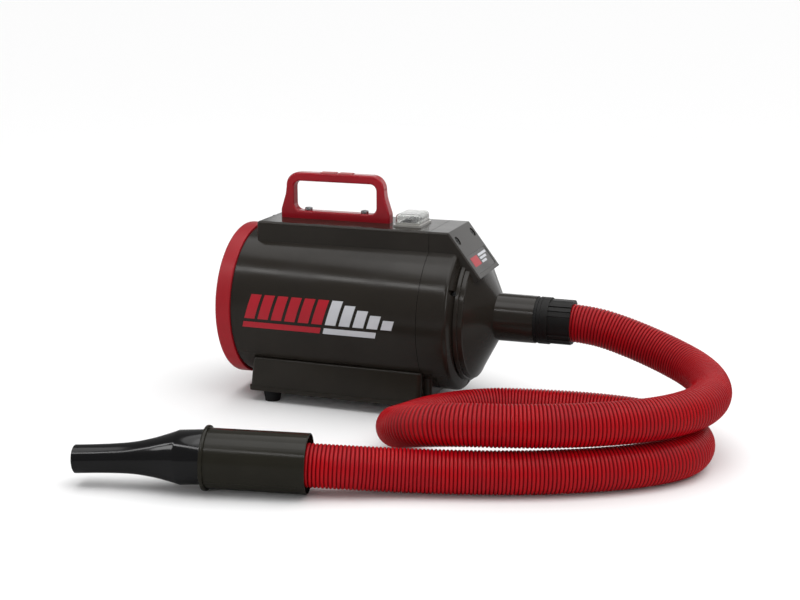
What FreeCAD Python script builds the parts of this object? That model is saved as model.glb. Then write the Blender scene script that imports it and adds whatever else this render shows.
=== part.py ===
import FreeCAD, Part
import math
import os

import Sketcher
from FreeCAD import Rotation, Vector

os.makedirs("parts", exist_ok=True)
doc = FreeCAD.newDocument("PetDryer")

# Driving dimensions, millimetres. +X runs along the air path to the outlet,
# +Z is up, and the origin is on the floor under the middle of the machine.
driving = {
    "axisHeight": 109,
    "halfLength": 185.5,
    "wall": 3,
    "fitGap": 0.4,
    "barrelRadius": 90,
    "barrelRearX": -165.9,
    "seamX": 64,
    "seamGap": 0.6,
    "ringRadius": 92.5,
    "ringWidth": 19,
    "boxHalfWidth": 42.7,
    "boxTop": 212,
    "boxRearX": -152,
    "boxFloor": 150,
    "panelTopX": 86.4,
    "panelFootX": 124.8,
    "panelFootHeight": 161.5,
    "shoulderX": 97.5,
    "grooveX": 102.5,
    "ledgeX": 107.7,
    "stepX": 112.8,
    "coneEndX": 136.8,
    "grooveRadius": 76,
    "ledgeRadius": 78,
    "stepRadius": 74.6,
    "coneRadius": 72.2,
    "tubeRadius": 27.8,
    "tubeBore": 25.4,
    "tubeEndX": 182.2,
    "sealRadius": 26.4,
    "baseRearX": -149,
    "baseFrontX": 65,
    "baseHalfWidth": 79,
    "baseDraft": 4,
    "baseTop": 53.7,
    "baseBottom": 14,
    "footRadius": 11,
    "footTipRadius": 9,
    "handleX": -66.3,
    "handleBaseHalf": 69.4,
    "handleHalf": 62.2,
    "handleTop": 267.3,
    "gripUnderside": 257,
    "gripOpenHalf": 52.7,
    "handleBaseTop": 221.3,
    "handleHalfDepth": 7.5,
    "switchX": 29.5,
    "bezelHalfX": 17,
    "bezelHalfY": 22,
    "bezelTop": 216.5,
    "switchOpenX": 9.8,
    "switchOpenY": 17.3,
    "rockerPivotHeight": 214,
    "rockerPinRadius": 1,
    "hoseRadius": 22,
    "hoseBore": 20.4,
    "hoseStartX": 207,
    "cuffEndX": 224.5,
    "cuffCollarRadius": 27.2,
    "sleeveRadius": 30,
    "sleeveBore": 29,
    "sleeveLength": 103.7,
    "nozzleRadius": 27.2,
    "nozzleTipRadius": 14.3,
    "nozzleWall": 2.2,
    "fanRadius": 66,
    "motorRadius": 44,
    "shaftRadius": 4,
}

sheet = doc.addObject("Spreadsheet::Sheet", "Sizes")
for row, (alias, value) in enumerate(driving.items(), start=1):
    sheet.set(f"A{row}", alias)
    sheet.set(f"B{row}", str(value))
    sheet.setAlias(f"B{row}", alias)
doc.recompute()

nodes = []


def size(alias):
    return float(sheet.get(alias))


def node(item, label):
    """Name an object and mark it as a piece of the machine."""
    item.Label = label
    nodes.append(item)
    return item


def place(item, base):
    """Bind an object's position to three expressions."""
    for letter, expression in zip("xyz", base):
        item.setExpression(f"Placement.Base.{letter}", expression)


def block(name, low, high):
    """Box between two corners given as expressions."""
    box = doc.addObject("Part::Box", name)
    sides = ("Length", "Width", "Height")
    for side, start, end in zip(sides, low, high):
        box.setExpression(side, f"({end}) - ({start})")
    place(box, low)
    return box


turns = {
    "x": Rotation(Vector(0, 1, 0), 90),
    "y": Rotation(Vector(1, 0, 0), -90),
    "z": Rotation(),
}


def rod(name, radius, length, base, along="x"):
    cylinder = doc.addObject("Part::Cylinder", name)
    cylinder.Placement.Rotation = turns[along]
    cylinder.setExpression("Radius", radius)
    cylinder.setExpression("Height", length)
    place(cylinder, base)
    return cylinder


def tube(name, outer, inner, length, base, along="x"):
    skin = rod(name + "Skin", outer, length, base, along)
    hollow = rod(name + "Hollow", inner, length, base, along)
    return cut(name, skin, [hollow])


def fuse(name, shapes):
    union = doc.addObject("Part::MultiFuse", name)
    union.Shapes = shapes
    return union


def cut(name, base, tools):
    result = doc.addObject("Part::Cut", name)
    result.Base = base
    result.Tool = tools[0] if len(tools) == 1 else fuse(name + "Tools", tools)
    return result


def group(name, shapes):
    """Several separate solids kept as one piece list."""
    together = doc.addObject("Part::Compound", name)
    together.Links = shapes
    return together


def fillet(name, base, radius, chosen):
    """Round the edges of base for which chosen(edge) is true."""
    doc.recompute()
    edges = [i + 1 for i, edge in enumerate(base.Shape.Edges) if chosen(edge)]
    result = doc.addObject("Part::Fillet", name)
    result.Base = base
    result.Edges = [(i, radius, radius) for i in edges]
    return result


def outline(body, name, role, corners):
    """Closed outline on one of the body's planes; corners are expressions."""
    sketch = body.newObject("Sketcher::SketchObject", name)
    planes = body.Origin.OriginFeatures
    support = next(plane for plane in planes if plane.Role == role)
    sketch.AttachmentSupport = [(support, "")]
    sketch.MapMode = "FlatFace"
    count = len(corners)
    start = []
    for i in range(count):
        angle = 2 * math.pi * i / count
        start.append(Vector(60 + 40 * math.cos(angle), 60 + 40 * math.sin(angle), 0))
    for i in range(count):
        sketch.addGeometry(Part.LineSegment(start[i], start[(i + 1) % count]))
    for i in range(count):
        following = (i + 1) % count
        sketch.addConstraint(Sketcher.Constraint("Coincident", i, 2, following, 1))
    for i, (across, up) in enumerate(corners):
        dims = (("DistanceX", start[i].x, across), ("DistanceY", start[i].y, up))
        for kind, value, expression in dims:
            rule = Sketcher.Constraint(kind, -1, 1, i, 1, value)
            index = sketch.addConstraint(rule)
            sketch.setExpression(f"Constraints[{index}]", expression)
    return sketch


def turned(name, corners, base=None):
    """Body turned about its own X axis from an outline of (x, radius) pairs."""
    body = doc.addObject("PartDesign::Body", name)
    sketch = outline(body, name + "Outline", "XZ_Plane", corners)
    doc.recompute()
    revolution = body.newObject("PartDesign::Revolution", name + "Turn")
    revolution.Profile = sketch
    revolution.ReferenceAxis = (sketch, ["H_Axis"])
    revolution.Angle = 360
    if base:
        place(body, base)
    return body


def extruded(name, corners, depth):
    """Body padded evenly to both sides of the XZ plane."""
    body = doc.addObject("PartDesign::Body", name)
    sketch = outline(body, name + "Outline", "XZ_Plane", corners)
    doc.recompute()
    pad = body.newObject("PartDesign::Pad", name + "Pad")
    pad.Profile = sketch
    pad.Midplane = True
    pad.setExpression("Length", depth)
    return body


def ease(body, radius, chosen):
    """Round chosen edges of a body's last feature."""
    doc.recompute()
    tip = body.Tip
    edges = [f"Edge{i + 1}" for i, edge in enumerate(tip.Shape.Edges) if chosen(edge)]
    rounding = body.newObject("PartDesign::Fillet", f"{body.Name}Ease{len(body.Group)}")
    rounding.Base = (tip, edges)
    rounding.Radius = radius


def circle_at(edge, station, radius):
    """True for a full circle of this radius at this local x."""
    curve = edge.Curve
    if curve.TypeId != "Part::GeomCircle":
        return False
    near = abs(curve.Center.x - station) < 0.01
    return near and abs(curve.Radius - radius) < 0.01


def runs_along(edge, axis):
    ends = [vertex.Point for vertex in edge.Vertexes]
    if len(ends) < 2 or edge.Curve.TypeId != "Part::GeomLine":
        return False
    direction = (ends[1] - ends[0]).normalize()
    return abs(abs(direction.dot(axis)) - 1) < 0.001


axisY = "0"
axisZ = "Sizes.axisHeight"
alongX = Vector(1, 0, 0)
alongY = Vector(0, 1, 0)
alongZ = Vector(0, 0, 1)


def barrel_shell():
    """Rear housing: round barrel with the control box on its back."""
    base = ("Sizes.barrelRearX", axisY, axisZ)
    length = "Sizes.seamX - Sizes.seamGap - Sizes.barrelRearX"
    front = "Sizes.seamX - Sizes.seamGap"
    skin = rod("BarrelSkin", "Sizes.barrelRadius", length, base)
    bore = rod("BarrelBore", "Sizes.barrelRadius - Sizes.wall", length, base)
    low = ("Sizes.boxRearX", "-Sizes.boxHalfWidth", "Sizes.boxFloor")
    high = (front, "Sizes.boxHalfWidth", "Sizes.boxTop")
    box = block("BoxSkin", low, high)
    rear = size("boxRearX")
    top = size("boxTop")

    def box_edge(edge):
        middle = edge.CenterOfMass
        long_top = runs_along(edge, alongX) and abs(middle.z - top) < 0.01
        rear_top = runs_along(edge, alongY) and middle.z > top - 1 and middle.x < rear + 1
        rear_side = runs_along(edge, alongZ) and middle.x < rear + 1
        return long_top or rear_top or rear_side

    rounded = fillet("BoxRounded", box, 3.5, box_edge)
    low = ("Sizes.boxRearX + Sizes.wall", "Sizes.wall - Sizes.boxHalfWidth", "Sizes.boxFloor")
    high = (front, "Sizes.boxHalfWidth - Sizes.wall", "Sizes.boxTop - Sizes.wall")
    hollow = block("BoxHollow", low, high)
    low = (
        "Sizes.switchX - 12",
        "-19",
        "Sizes.boxTop - 10",
    )
    high = ("Sizes.switchX + 12", "19", "Sizes.boxTop + 5")
    switch_hole = block("SwitchHole", low, high)
    tools = [bore, hollow, switch_hole]
    for i, offset in enumerate(("- 36", "+ 36")):
        base = (f"Sizes.handleX {offset}", "0", "Sizes.boxTop - 8")
        tools.append(rod(f"HandleScrewHole{i}", "2.3", "12", base, "z"))
    for i, (x, y) in enumerate(base_screw_places):
        tools.append(rod(f"BarrelFloorHole{i}", "2.3", "30", (str(x), str(y), "10"), "z"))
    base = ("Sizes.boxRearX - 5", gland_y, gland_z)
    tools.append(rod("GlandHole", "4.8", "12", base))
    shell = cut("BarrelShell", fuse("BarrelSolid", [skin, rounded]), tools)
    return node(shell, "barrel_shell")


base_screw_places = [(-100, -30), (-100, 30), (16, -30), (16, 30)]
gland_y = "32"
gland_z = "202.3"


def panel_tool(name, low, high):
    """Box whose frame lies on the slanted panel: x down the slope, z outwards."""
    box = doc.addObject("Part::Box", name)
    box.Length = high[0] - low[0]
    box.Width = high[1] - low[1]
    box.Height = high[2] - low[2]
    box.Placement = FreeCAD.Placement(panel_point(*low), panel_turn)
    return box


slope = math.atan2(
    size("boxTop") - size("panelFootHeight"), size("panelFootX") - size("panelTopX")
)
panel_turn = Rotation(Vector(0, 1, 0), math.degrees(slope))


def panel_point(down, across, out):
    corner = Vector(size("panelTopX"), 0, size("boxTop"))
    return corner + panel_turn.multVec(Vector(down, across, out))


def panel_rod(name, radius, length, down, across, out):
    """Cylinder that stands on the slanted panel."""
    cylinder = doc.addObject("Part::Cylinder", name)
    cylinder.Radius = radius
    cylinder.Height = length
    cylinder.Placement = FreeCAD.Placement(panel_point(down, across, out), panel_turn)
    return cylinder


def radial_rod(name, radius, length, x, angle, start):
    """Cylinder that points out of the axis at this angle above the near side."""
    cylinder = doc.addObject("Part::Cylinder", name)
    cylinder.Radius = radius
    cylinder.Height = length
    across = -math.cos(math.radians(angle))
    up = math.sin(math.radians(angle))
    outwards = Vector(0, across, up)
    middle = Vector(x, 0, size("axisHeight"))
    turn = Rotation(alongZ, outwards)
    cylinder.Placement = FreeCAD.Placement(middle + outwards * start, turn)
    return cylinder


spigot = 6
label_down = (34, 58.3)
label_half = 34.5
panel_screws = [(13.2, -30), (13.2, 30)]
band_angles = (30, 150, 270)
band_x = 101.2
band_floor = 76.5


def local(station):
    """Expression for a station along the front housing's own axis."""
    return f"{station} - Sizes.seamX + {spigot}"


def front_housing():
    """Front housing: stepped shoulder, cone and outlet tube with the slanted panel."""
    outer = [
        ("0", "0"),
        ("0", "Sizes.barrelRadius - Sizes.wall - 0.3"),
        (f"{spigot}", "Sizes.barrelRadius - Sizes.wall - 0.3"),
        (f"{spigot}", "Sizes.barrelRadius"),
        (local("Sizes.shoulderX"), "Sizes.barrelRadius"),
        (local("Sizes.grooveX"), "Sizes.grooveRadius"),
        (local("Sizes.grooveX + 0.8"), "Sizes.ledgeRadius"),
        (local("Sizes.ledgeX"), "Sizes.ledgeRadius - 0.6"),
        (local("Sizes.ledgeX + 0.4"), "Sizes.stepRadius"),
        (local("Sizes.stepX"), "Sizes.stepRadius - 0.6"),
        (local("Sizes.stepX + 0.5"), "Sizes.coneRadius"),
        (local("Sizes.coneEndX"), "Sizes.tubeRadius"),
        (local("Sizes.tubeEndX"), "Sizes.tubeRadius - 0.3"),
        (local("Sizes.tubeEndX"), "0"),
    ]
    inner = [
        ("0", "0"),
        ("0", "Sizes.barrelRadius - 2 * Sizes.wall"),
        (local("Sizes.shoulderX - 6"), "Sizes.barrelRadius - 2 * Sizes.wall"),
        (local("Sizes.shoulderX - 1"), "Sizes.stepRadius - Sizes.wall"),
        (local("Sizes.stepX - Sizes.wall"), "Sizes.stepRadius - Sizes.wall - 0.6"),
        (local("Sizes.stepX - Sizes.wall + 0.7"), "Sizes.coneRadius - 3.7"),
        (local("Sizes.coneEndX - 2.5"), "Sizes.tubeBore"),
        (local("Sizes.halfLength"), "Sizes.tubeBore"),
        (local("Sizes.halfLength"), "0"),
    ]
    base = (f"Sizes.seamX - {spigot}", axisY, axisZ)
    skin = turned("FrontSkin", outer, base)

    def shoulder(edge):
        return circle_at(edge, size("shoulderX") - size("seamX") + spigot, size("barrelRadius"))

    rims = (
        (size("grooveX") + 0.8, size("ledgeRadius")),
        (size("ledgeX"), size("ledgeRadius") - 0.6),
        (size("stepX"), size("stepRadius") - 0.6),
    )

    def ledges(edge):
        return any(circle_at(edge, x - size("seamX") + spigot, radius) for x, radius in rims)

    ease(skin, 5.5, shoulder)
    ease(skin, 0.9, ledges)
    hollow = turned("FrontHollow", inner, base)
    panel = [
        ("Sizes.seamX", "Sizes.boxFloor"),
        ("Sizes.seamX", "Sizes.boxTop"),
        ("Sizes.panelTopX", "Sizes.boxTop"),
        ("Sizes.panelFootX", "Sizes.panelFootHeight"),
        ("Sizes.panelFootX - 9.6", "Sizes.panelFootHeight - 7.2"),
        ("Sizes.panelFootX - 16", "Sizes.boxFloor"),
    ]
    box = extruded("FrontBox", panel, "2 * Sizes.boxHalfWidth")
    half = size("boxHalfWidth")
    foot = size("panelFootHeight")

    def side_edge(edge):
        middle = edge.CenterOfMass
        on_side = abs(abs(middle.y) - half) < 0.01
        visible = middle.z > foot + 1 and middle.x > size("seamX") + 1
        return on_side and visible and not runs_along(edge, alongY)

    def brow(edge):
        middle = edge.CenterOfMass
        at_brow = abs(middle.x - size("panelTopX")) < 2 and middle.z > size("boxTop") - 1
        return at_brow and runs_along(edge, alongY)

    ease(box, 3, side_edge)
    ease(box, 2, brow)
    inside = [
        ("Sizes.seamX", "Sizes.boxFloor"),
        ("Sizes.seamX", "Sizes.boxTop - Sizes.wall"),
        ("Sizes.panelTopX - 4", "Sizes.boxTop - Sizes.wall"),
        ("Sizes.panelFootX - 8.5", "Sizes.panelFootHeight + 4.5"),
        ("Sizes.panelFootX - 21", "Sizes.boxFloor"),
    ]
    box_hollow = extruded("FrontBoxHollow", inside, "2 * (Sizes.boxHalfWidth - Sizes.wall)")
    above = [
        ("Sizes.panelTopX", "Sizes.boxTop"),
        ("Sizes.panelFootX", "Sizes.panelFootHeight"),
        ("Sizes.panelFootX + 24", "Sizes.panelFootHeight + 18.2"),
        ("Sizes.panelFootX + 24", "Sizes.boxTop + 20"),
        ("Sizes.panelTopX", "Sizes.boxTop + 20"),
    ]
    clear_of_panel = extruded("AbovePanel", above, "2 * Sizes.boxHalfWidth")
    bore = rod("BoxBore", "Sizes.barrelRadius - 1.5 * Sizes.wall", "32", ("60", axisY, axisZ))
    tunnel = cut("FrontTunnel", skin, [hollow, clear_of_panel])
    console = cut("FrontConsole", box, [box_hollow, bore])
    tools = []
    low = (label_down[0], -label_half, -1.2)
    high = (label_down[1], label_half, 5)
    tools.append(panel_tool("LabelRecess", low, high))
    for i, (down, across) in enumerate(panel_screws):
        tools.append(panel_rod(f"PanelScrewHole{i}", 5.5, 12, down, across, -2.4))
    for i, angle in enumerate(band_angles):
        tools.append(radial_rod(f"BandScrewHole{i}", 3.2, 14, band_x, angle, band_floor))
    shell = cut("FrontHousing", fuse("FrontSolid", [tunnel, console]), tools)
    return node(shell, "front_housing")


def outlet_seal():
    """Rubber ring between the outlet tube and the hose cuff."""
    length = "Sizes.halfLength - Sizes.tubeEndX"
    base = ("Sizes.tubeEndX", axisY, axisZ)
    return node(tube("OutletSeal", "Sizes.sealRadius", "Sizes.tubeBore", length, base),
                "outlet_seal")


def housing_screws():
    """Five screw heads sunk in the front housing: three round it, two in the panel."""
    heads = []
    for i, angle in enumerate(band_angles):
        heads.append(radial_rod(f"BandScrew{i}", 2.8, 1.6, band_x, angle, band_floor + 0.05))
    for i, (down, across) in enumerate(panel_screws):
        heads.append(panel_rod(f"PanelScrew{i}", 4.2, 1.6, down, across, -2.35))
    return node(group("HousingScrews", heads), "housing_screws")


def panel_plate():
    low = (label_down[0] + 0.4, 0.4 - label_half, -1.2)
    high = (label_down[1] - 0.4, label_half - 0.4, -0.4)
    return node(panel_tool("PanelPlate", low, high), "panel_plate")


def filter_ring():
    """Red ring that pulls off the back with the grille and the foam."""
    corners = [
        ("0", "79"),
        ("0", "Sizes.ringRadius"),
        ("Sizes.ringWidth", "Sizes.ringRadius"),
        ("Sizes.ringWidth", "Sizes.barrelRadius - Sizes.wall - Sizes.fitGap"),
        ("Sizes.ringWidth + 10", "Sizes.barrelRadius - Sizes.wall - Sizes.fitGap"),
        ("Sizes.ringWidth + 10", "Sizes.barrelRadius - 2 * Sizes.wall - Sizes.fitGap"),
        ("4", "Sizes.barrelRadius - 2 * Sizes.wall - Sizes.fitGap"),
        ("4", "79"),
    ]
    ring = turned("FilterRing", corners, ("-Sizes.halfLength", axisY, axisZ))
    ease(ring, 2.5, lambda edge: circle_at(edge, 0, size("ringRadius")))
    ease(ring, 1, lambda edge: circle_at(edge, size("ringWidth"), size("ringRadius")))
    return node(ring, "filter_ring")


def intake_grille():
    """Flat guard of rings on eight spokes round a hub."""
    base = ("4.2 - Sizes.halfLength", axisY, axisZ)
    thick = "3.5"
    rings = [rod("GrilleHub", "14", thick, base)]
    for i in range(8):
        outer = 83.3 - 8.2 * i
        rings.append(tube(f"GrilleRing{i}", str(outer), str(outer - 3), thick, base))
    spokes = []
    for i in range(4):
        spoke = doc.addObject("Part::Box", f"GrilleSpoke{i}")
        spoke.Length = 3.5
        spoke.Width = 164
        spoke.Height = 4
        turn = Rotation(alongX, 45 * i)
        offset = turn.multVec(Vector(0, -82, -2))
        corner = Vector(4.2 - size("halfLength"), 0, size("axisHeight")) + offset
        spoke.Placement = FreeCAD.Placement(corner, turn)
        spokes.append(spoke)
    return node(fuse("IntakeGrille", rings + spokes), "intake_grille")


def foam_filter():
    base = ("8.5 - Sizes.halfLength", axisY, axisZ)
    return node(rod("FoamFilter", "83", "9", base), "foam_filter")


def handle():
    """Carry handle: a rounded loop on a wide foot bar."""
    half = "Sizes.handleHalf"
    wide = "Sizes.handleBaseHalf"
    right = [
        (wide, "Sizes.boxTop"),
        (wide, "Sizes.boxTop + 10"),
        (f"{half} + 1.2", "Sizes.boxTop + 29"),
        (half, "Sizes.boxTop + 38"),
        (half, "Sizes.handleTop"),
    ]
    left = [(f"-({across})", up) for across, up in reversed(right)]
    corners = [(f"Sizes.handleX + {x}", z) for x, z in right + left]
    loop = extruded("HandleLoop", corners, "2 * Sizes.handleHalfDepth")
    middle = size("handleX")
    top = size("handleTop")

    def across_at(edge, offset, height):
        centre = edge.CenterOfMass
        hit = abs(abs(centre.x - middle) - offset) < 0.5 and abs(centre.z - height) < 0.5
        return hit and runs_along(edge, alongY)

    ease(loop, 16.5, lambda edge: across_at(edge, size("handleHalf"), top))
    knee = size("boxTop") + 29
    ease(loop, 40, lambda edge: across_at(edge, size("handleHalf") + 1.2, knee))
    hip = size("boxTop") + 10
    ease(loop, 9, lambda edge: across_at(edge, size("handleBaseHalf"), hip))
    gap = [
        ("Sizes.handleX - Sizes.gripOpenHalf", "Sizes.handleBaseTop"),
        ("Sizes.handleX + Sizes.gripOpenHalf", "Sizes.handleBaseTop"),
        ("Sizes.handleX + Sizes.gripOpenHalf", "Sizes.gripUnderside"),
        ("Sizes.handleX - Sizes.gripOpenHalf", "Sizes.gripUnderside"),
    ]
    opening = extruded("HandleGap", gap, "4 * Sizes.handleHalfDepth")
    ease(opening, 8, lambda edge: runs_along(edge, alongY))
    tools = [opening]
    for i, side in enumerate(("- 36", "+ 36")):
        base = (f"Sizes.handleX {side}", "0", "Sizes.boxTop - 5")
        tools.append(rod(f"HandleHole{i}", "2.3", "20", base, "z"))
    raw = cut("HandleRaw", loop, tools)

    def rim(edge):
        centre = edge.CenterOfMass
        on_face = abs(abs(centre.y) - size("handleHalfDepth")) < 0.01
        return on_face and centre.z > size("boxTop") + 1

    return node(fillet("Handle", raw, 2.4, rim), "handle")


def handle_pads():
    """Two soft inlays on top of the grip."""
    pads = []
    for i, (low, high) in enumerate(((-85, -66), (-62, -45))):
        start = (str(low), "-5", "Sizes.handleTop")
        end = (str(high), "5", "Sizes.handleTop + 1")
        pad = block(f"GripPad{i}", start, end)
        pads.append(fillet(f"GripPadEased{i}", pad, 0.6, top_edges))
    return node(group("HandlePads", pads), "handle_pads")


def top_edges(edge):
    """Edges round the upper face of a pad or cap."""
    heights = [vertex.Point.z for vertex in edge.Vertexes]
    return min(heights) > size("handleTop") + 0.9


def handle_screws():
    """Two dome-head screws that hold the foot bar to the box."""
    screws = []
    for i, side in enumerate(("- 36", "+ 36")):
        x = f"Sizes.handleX {side}"
        shank = rod(f"HandleShank{i}", "2", "18", (x, "0", "Sizes.handleBaseTop - 18"), "z")
        head = doc.addObject("Part::Sphere", f"HandleHead{i}")
        head.Radius = 5.2
        head.Angle1 = 0
        head.Angle2 = 90
        place(head, (x, "0", "Sizes.handleBaseTop - 2.2"))
        dome = doc.addObject("Part::Common", f"HandleDome{i}")
        dome.Base = head
        height = "Sizes.handleBaseTop"
        dome.Tool = rod(f"HandleDomeCut{i}", "4.6", "6", (x, "0", height), "z")
        screws.append(fuse(f"HandleScrew{i}", [shank, dome]))
    return node(group("HandleScrews", screws), "handle_screws")


def switch():
    """Twin rocker switch: bezel, body, two rockers on one pin, clear cover."""
    x = "Sizes.switchX"
    top = "Sizes.boxTop"
    low = (f"{x} - Sizes.bezelHalfX", "-Sizes.bezelHalfY", top)
    high = (f"{x} + Sizes.bezelHalfX", "Sizes.bezelHalfY", f"{top} + 2.2")
    flange = block("BezelFlange", low, high)
    low = (f"{x} - Sizes.bezelHalfX + 1.8", "1.8 - Sizes.bezelHalfY", top)
    high = (f"{x} + Sizes.bezelHalfX - 1.8", "Sizes.bezelHalfY - 1.8", "Sizes.bezelTop")
    tier = block("BezelTier", low, high)
    low = (f"{x} - Sizes.switchOpenX", "-Sizes.switchOpenY", f"{top} - 1")
    high = (f"{x} + Sizes.switchOpenX", "Sizes.switchOpenY", f"{top} + 9")
    window = block("BezelWindow", low, high)
    pin_length = "2 * Sizes.switchOpenY + 3"
    pin_base = (x, "-Sizes.switchOpenY - 1.5", "Sizes.rockerPivotHeight")
    pin_hole = rod("BezelPinHole", "Sizes.rockerPinRadius", pin_length, pin_base, "y")
    solid = fuse("BezelSolid", [flange, tier])

    def upright(edge):
        return runs_along(edge, alongZ)

    rounded = fillet("BezelRounded", solid, 3, upright)
    node(cut("SwitchBezel", rounded, [window, pin_hole]), "switch_bezel")
    pin = rod("RockerPin", "Sizes.rockerPinRadius", pin_length, pin_base, "y")
    node(pin, "rocker_pin")
    low = (f"{x} - 11.7", "-18.7", f"{top} - 22")
    high = (f"{x} + 11.7", "18.7", f"{top} - 0.2")
    body = block("SwitchBlock", low, high)
    low = (f"{x} - Sizes.switchOpenX", "-Sizes.switchOpenY", f"{top} - 4")
    high = (f"{x} + Sizes.switchOpenX", "Sizes.switchOpenY", f"{top} + 9")
    pit = block("SwitchPit", low, high)
    node(cut("SwitchBody", body, [pit]), "switch_body")
    tabs = []
    for i in range(4):
        y = -12 + 8 * i
        low = (f"{x} - 3", str(y - 1.5), f"{top} - 30")
        high = (f"{x} + 3", str(y - 0.7), f"{top} - 22")
        tabs.append(block(f"SwitchTab{i}", low, high))
    node(group("SwitchTabs", tabs), "switch_tabs")
    for i, y in enumerate((-8.6, 8.6)):
        rocker(f"rocker_{i + 1}", y)


rocker_rest_tilt = 7


def rocker(label, y):
    """Rocker button, built level about its pin and then tipped to its off position."""
    name = label.title().replace("_", "")
    outline_points = [
        ("1.7", "0.7"),
        ("18.3", "0.7"),
        ("17", "6"),
        ("13.5", "10.5"),
        ("6.5", "10.5"),
        ("3", "6"),
    ]
    body = doc.addObject("PartDesign::Body", name + "Cap")
    sketch = outline(body, name + "Outline", "XZ_Plane", outline_points)
    doc.recompute()
    pad = body.newObject("PartDesign::Pad", name + "Pad")
    pad.Profile = sketch
    pad.Midplane = True
    pad.Length = 15.6
    ease(body, 0.8, lambda edge: edge.CenterOfMass.z > 1.5)
    body.Placement.Base = Vector(-10, 0, -4)
    hole = doc.addObject("Part::Cylinder", name + "Hole")
    hole.setExpression("Radius", "Sizes.rockerPinRadius + 0.05")
    hole.Height = 30
    hole.Placement = FreeCAD.Placement(Vector(0, -15, 0), turns["y"])
    cap = cut(name, body, [hole])
    turn = Rotation(alongY, rocker_rest_tilt)
    pivot = Vector(size("switchX"), y, size("rockerPivotHeight"))
    cap.Placement = FreeCAD.Placement(pivot, turn)
    return node(cap, label)


def switch_cover():
    """Clear moulded hood over both rockers."""
    x = "Sizes.switchX"
    bottom = "Sizes.bezelTop"
    low = (f"{x} - 15", "-20", bottom)
    high = (f"{x} + 15", "20", f"{bottom} + 9.8")
    skin = block("CoverSkin", low, high)
    low = (f"{x} - 14", "-19", f"{bottom} - 1")
    high = (f"{x} + 14", "19", f"{bottom} + 8.8")
    hollow = block("CoverHollow", low, high)
    base = size("bezelTop")

    def upper(edge):
        heights = [vertex.Point.z for vertex in edge.Vertexes]
        return max(heights) > base + 5

    outside = fillet("CoverOutside", skin, 4.5, upper)
    inside = fillet("CoverInside", hollow, 3.5, upper)
    return node(cut("SwitchCover", outside, [inside]), "switch_cover")


def base_plinth():
    """Hollow tapered plinth on a flange, with an end cap; it cradles the barrel."""
    skin = doc.addObject("Part::Wedge", "BaseSkin")
    faces = {
        "Xmin": "Sizes.baseRearX",
        "Xmax": "Sizes.baseFrontX",
        "Ymin": "Sizes.baseBottom",
        "Ymax": "Sizes.baseTop",
        "Zmin": "-Sizes.baseHalfWidth",
        "Zmax": "Sizes.baseHalfWidth",
        "X2min": "Sizes.baseRearX + Sizes.baseDraft - 1",
        "X2max": "Sizes.baseFrontX + 1",
        "Z2min": "Sizes.baseDraft - Sizes.baseHalfWidth",
        "Z2max": "Sizes.baseHalfWidth - Sizes.baseDraft",
    }
    for side, expression in faces.items():
        skin.setExpression(side, expression)
    skin.Placement.Rotation = Rotation(alongX, 90)
    top = size("baseTop")

    def corners(edge):
        heights = [vertex.Point.z for vertex in edge.Vertexes]
        return max(heights) - min(heights) > 30

    def rims(edge):
        heights = [vertex.Point.z for vertex in edge.Vertexes]
        return min(heights) > top - 0.1

    rounded = fillet("BaseCorners", skin, 5, corners)
    eased = fillet("BaseRims", rounded, 2.6, rims)
    low = ("Sizes.baseRearX - 1.3", "-Sizes.baseHalfWidth - 1", "Sizes.baseBottom")
    high = ("Sizes.baseFrontX + 1", "Sizes.baseHalfWidth + 1", "Sizes.baseBottom + 5")
    slab = block("BaseSlab", low, high)
    flange = fillet("BaseFlange", slab, 6, lambda edge: runs_along(edge, alongZ))
    low = ("Sizes.baseFrontX - 1", "-62", "Sizes.baseBottom + 6")
    high = ("Sizes.baseFrontX + 9", "62", "Sizes.baseTop")
    cap = block("BaseCapBlock", low, high)
    end_cap = fillet("BaseCap", cap, 3, lambda edge: runs_along(edge, alongZ))
    side = "Sizes.baseHalfWidth - Sizes.baseDraft - 5"
    low = ("Sizes.baseRearX + 6", f"-({side})", "Sizes.baseBottom + Sizes.wall")
    high = ("Sizes.baseFrontX - Sizes.wall", side, "Sizes.baseTop + 5")
    hollow = block("BaseHollow", low, high)
    length = "Sizes.baseFrontX - Sizes.baseRearX + 40"
    cradle = rod("BaseCradle", "Sizes.barrelRadius + 0.05", length,
                 ("Sizes.baseRearX - 10", axisY, axisZ))
    tools = [hollow, cradle]
    for i, (x, y) in enumerate(base_screw_places):
        tools.append(rod(f"BaseScrewHole{i}", "2.3", "20", (str(x), str(y), "8"), "z"))
    solid = fuse("BaseSolid", [eased, flange, end_cap])
    return node(cut("BasePlinth", solid, tools), "base_plinth")


def base_screws():
    screws = []
    for i, (x, y) in enumerate(base_screw_places):
        shank = rod(f"BaseShank{i}", "2", "20", (str(x), str(y), "Sizes.baseBottom"), "z")
        head = rod(f"BaseHead{i}", "4", "2.4", (str(x), str(y), "Sizes.baseBottom - 2.4"), "z")
        screws.append(fuse(f"BaseScrew{i}", [shank, head]))
    return node(group("BaseScrews", screws), "base_screws")


def feet():
    places = {
        "rear_near_foot": (-125, -66),
        "rear_far_foot": (-125, 66),
        "front_near_foot": (38, -66),
        "front_far_foot": (38, 66),
    }
    for label, (x, y) in places.items():
        foot = doc.addObject("Part::Cone", label.title().replace("_", ""))
        foot.setExpression("Radius1", "Sizes.footTipRadius")
        foot.setExpression("Radius2", "Sizes.footRadius")
        foot.setExpression("Height", "Sizes.baseBottom")
        place(foot, (str(x), str(y), "0"))
        node(foot, label)


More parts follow.
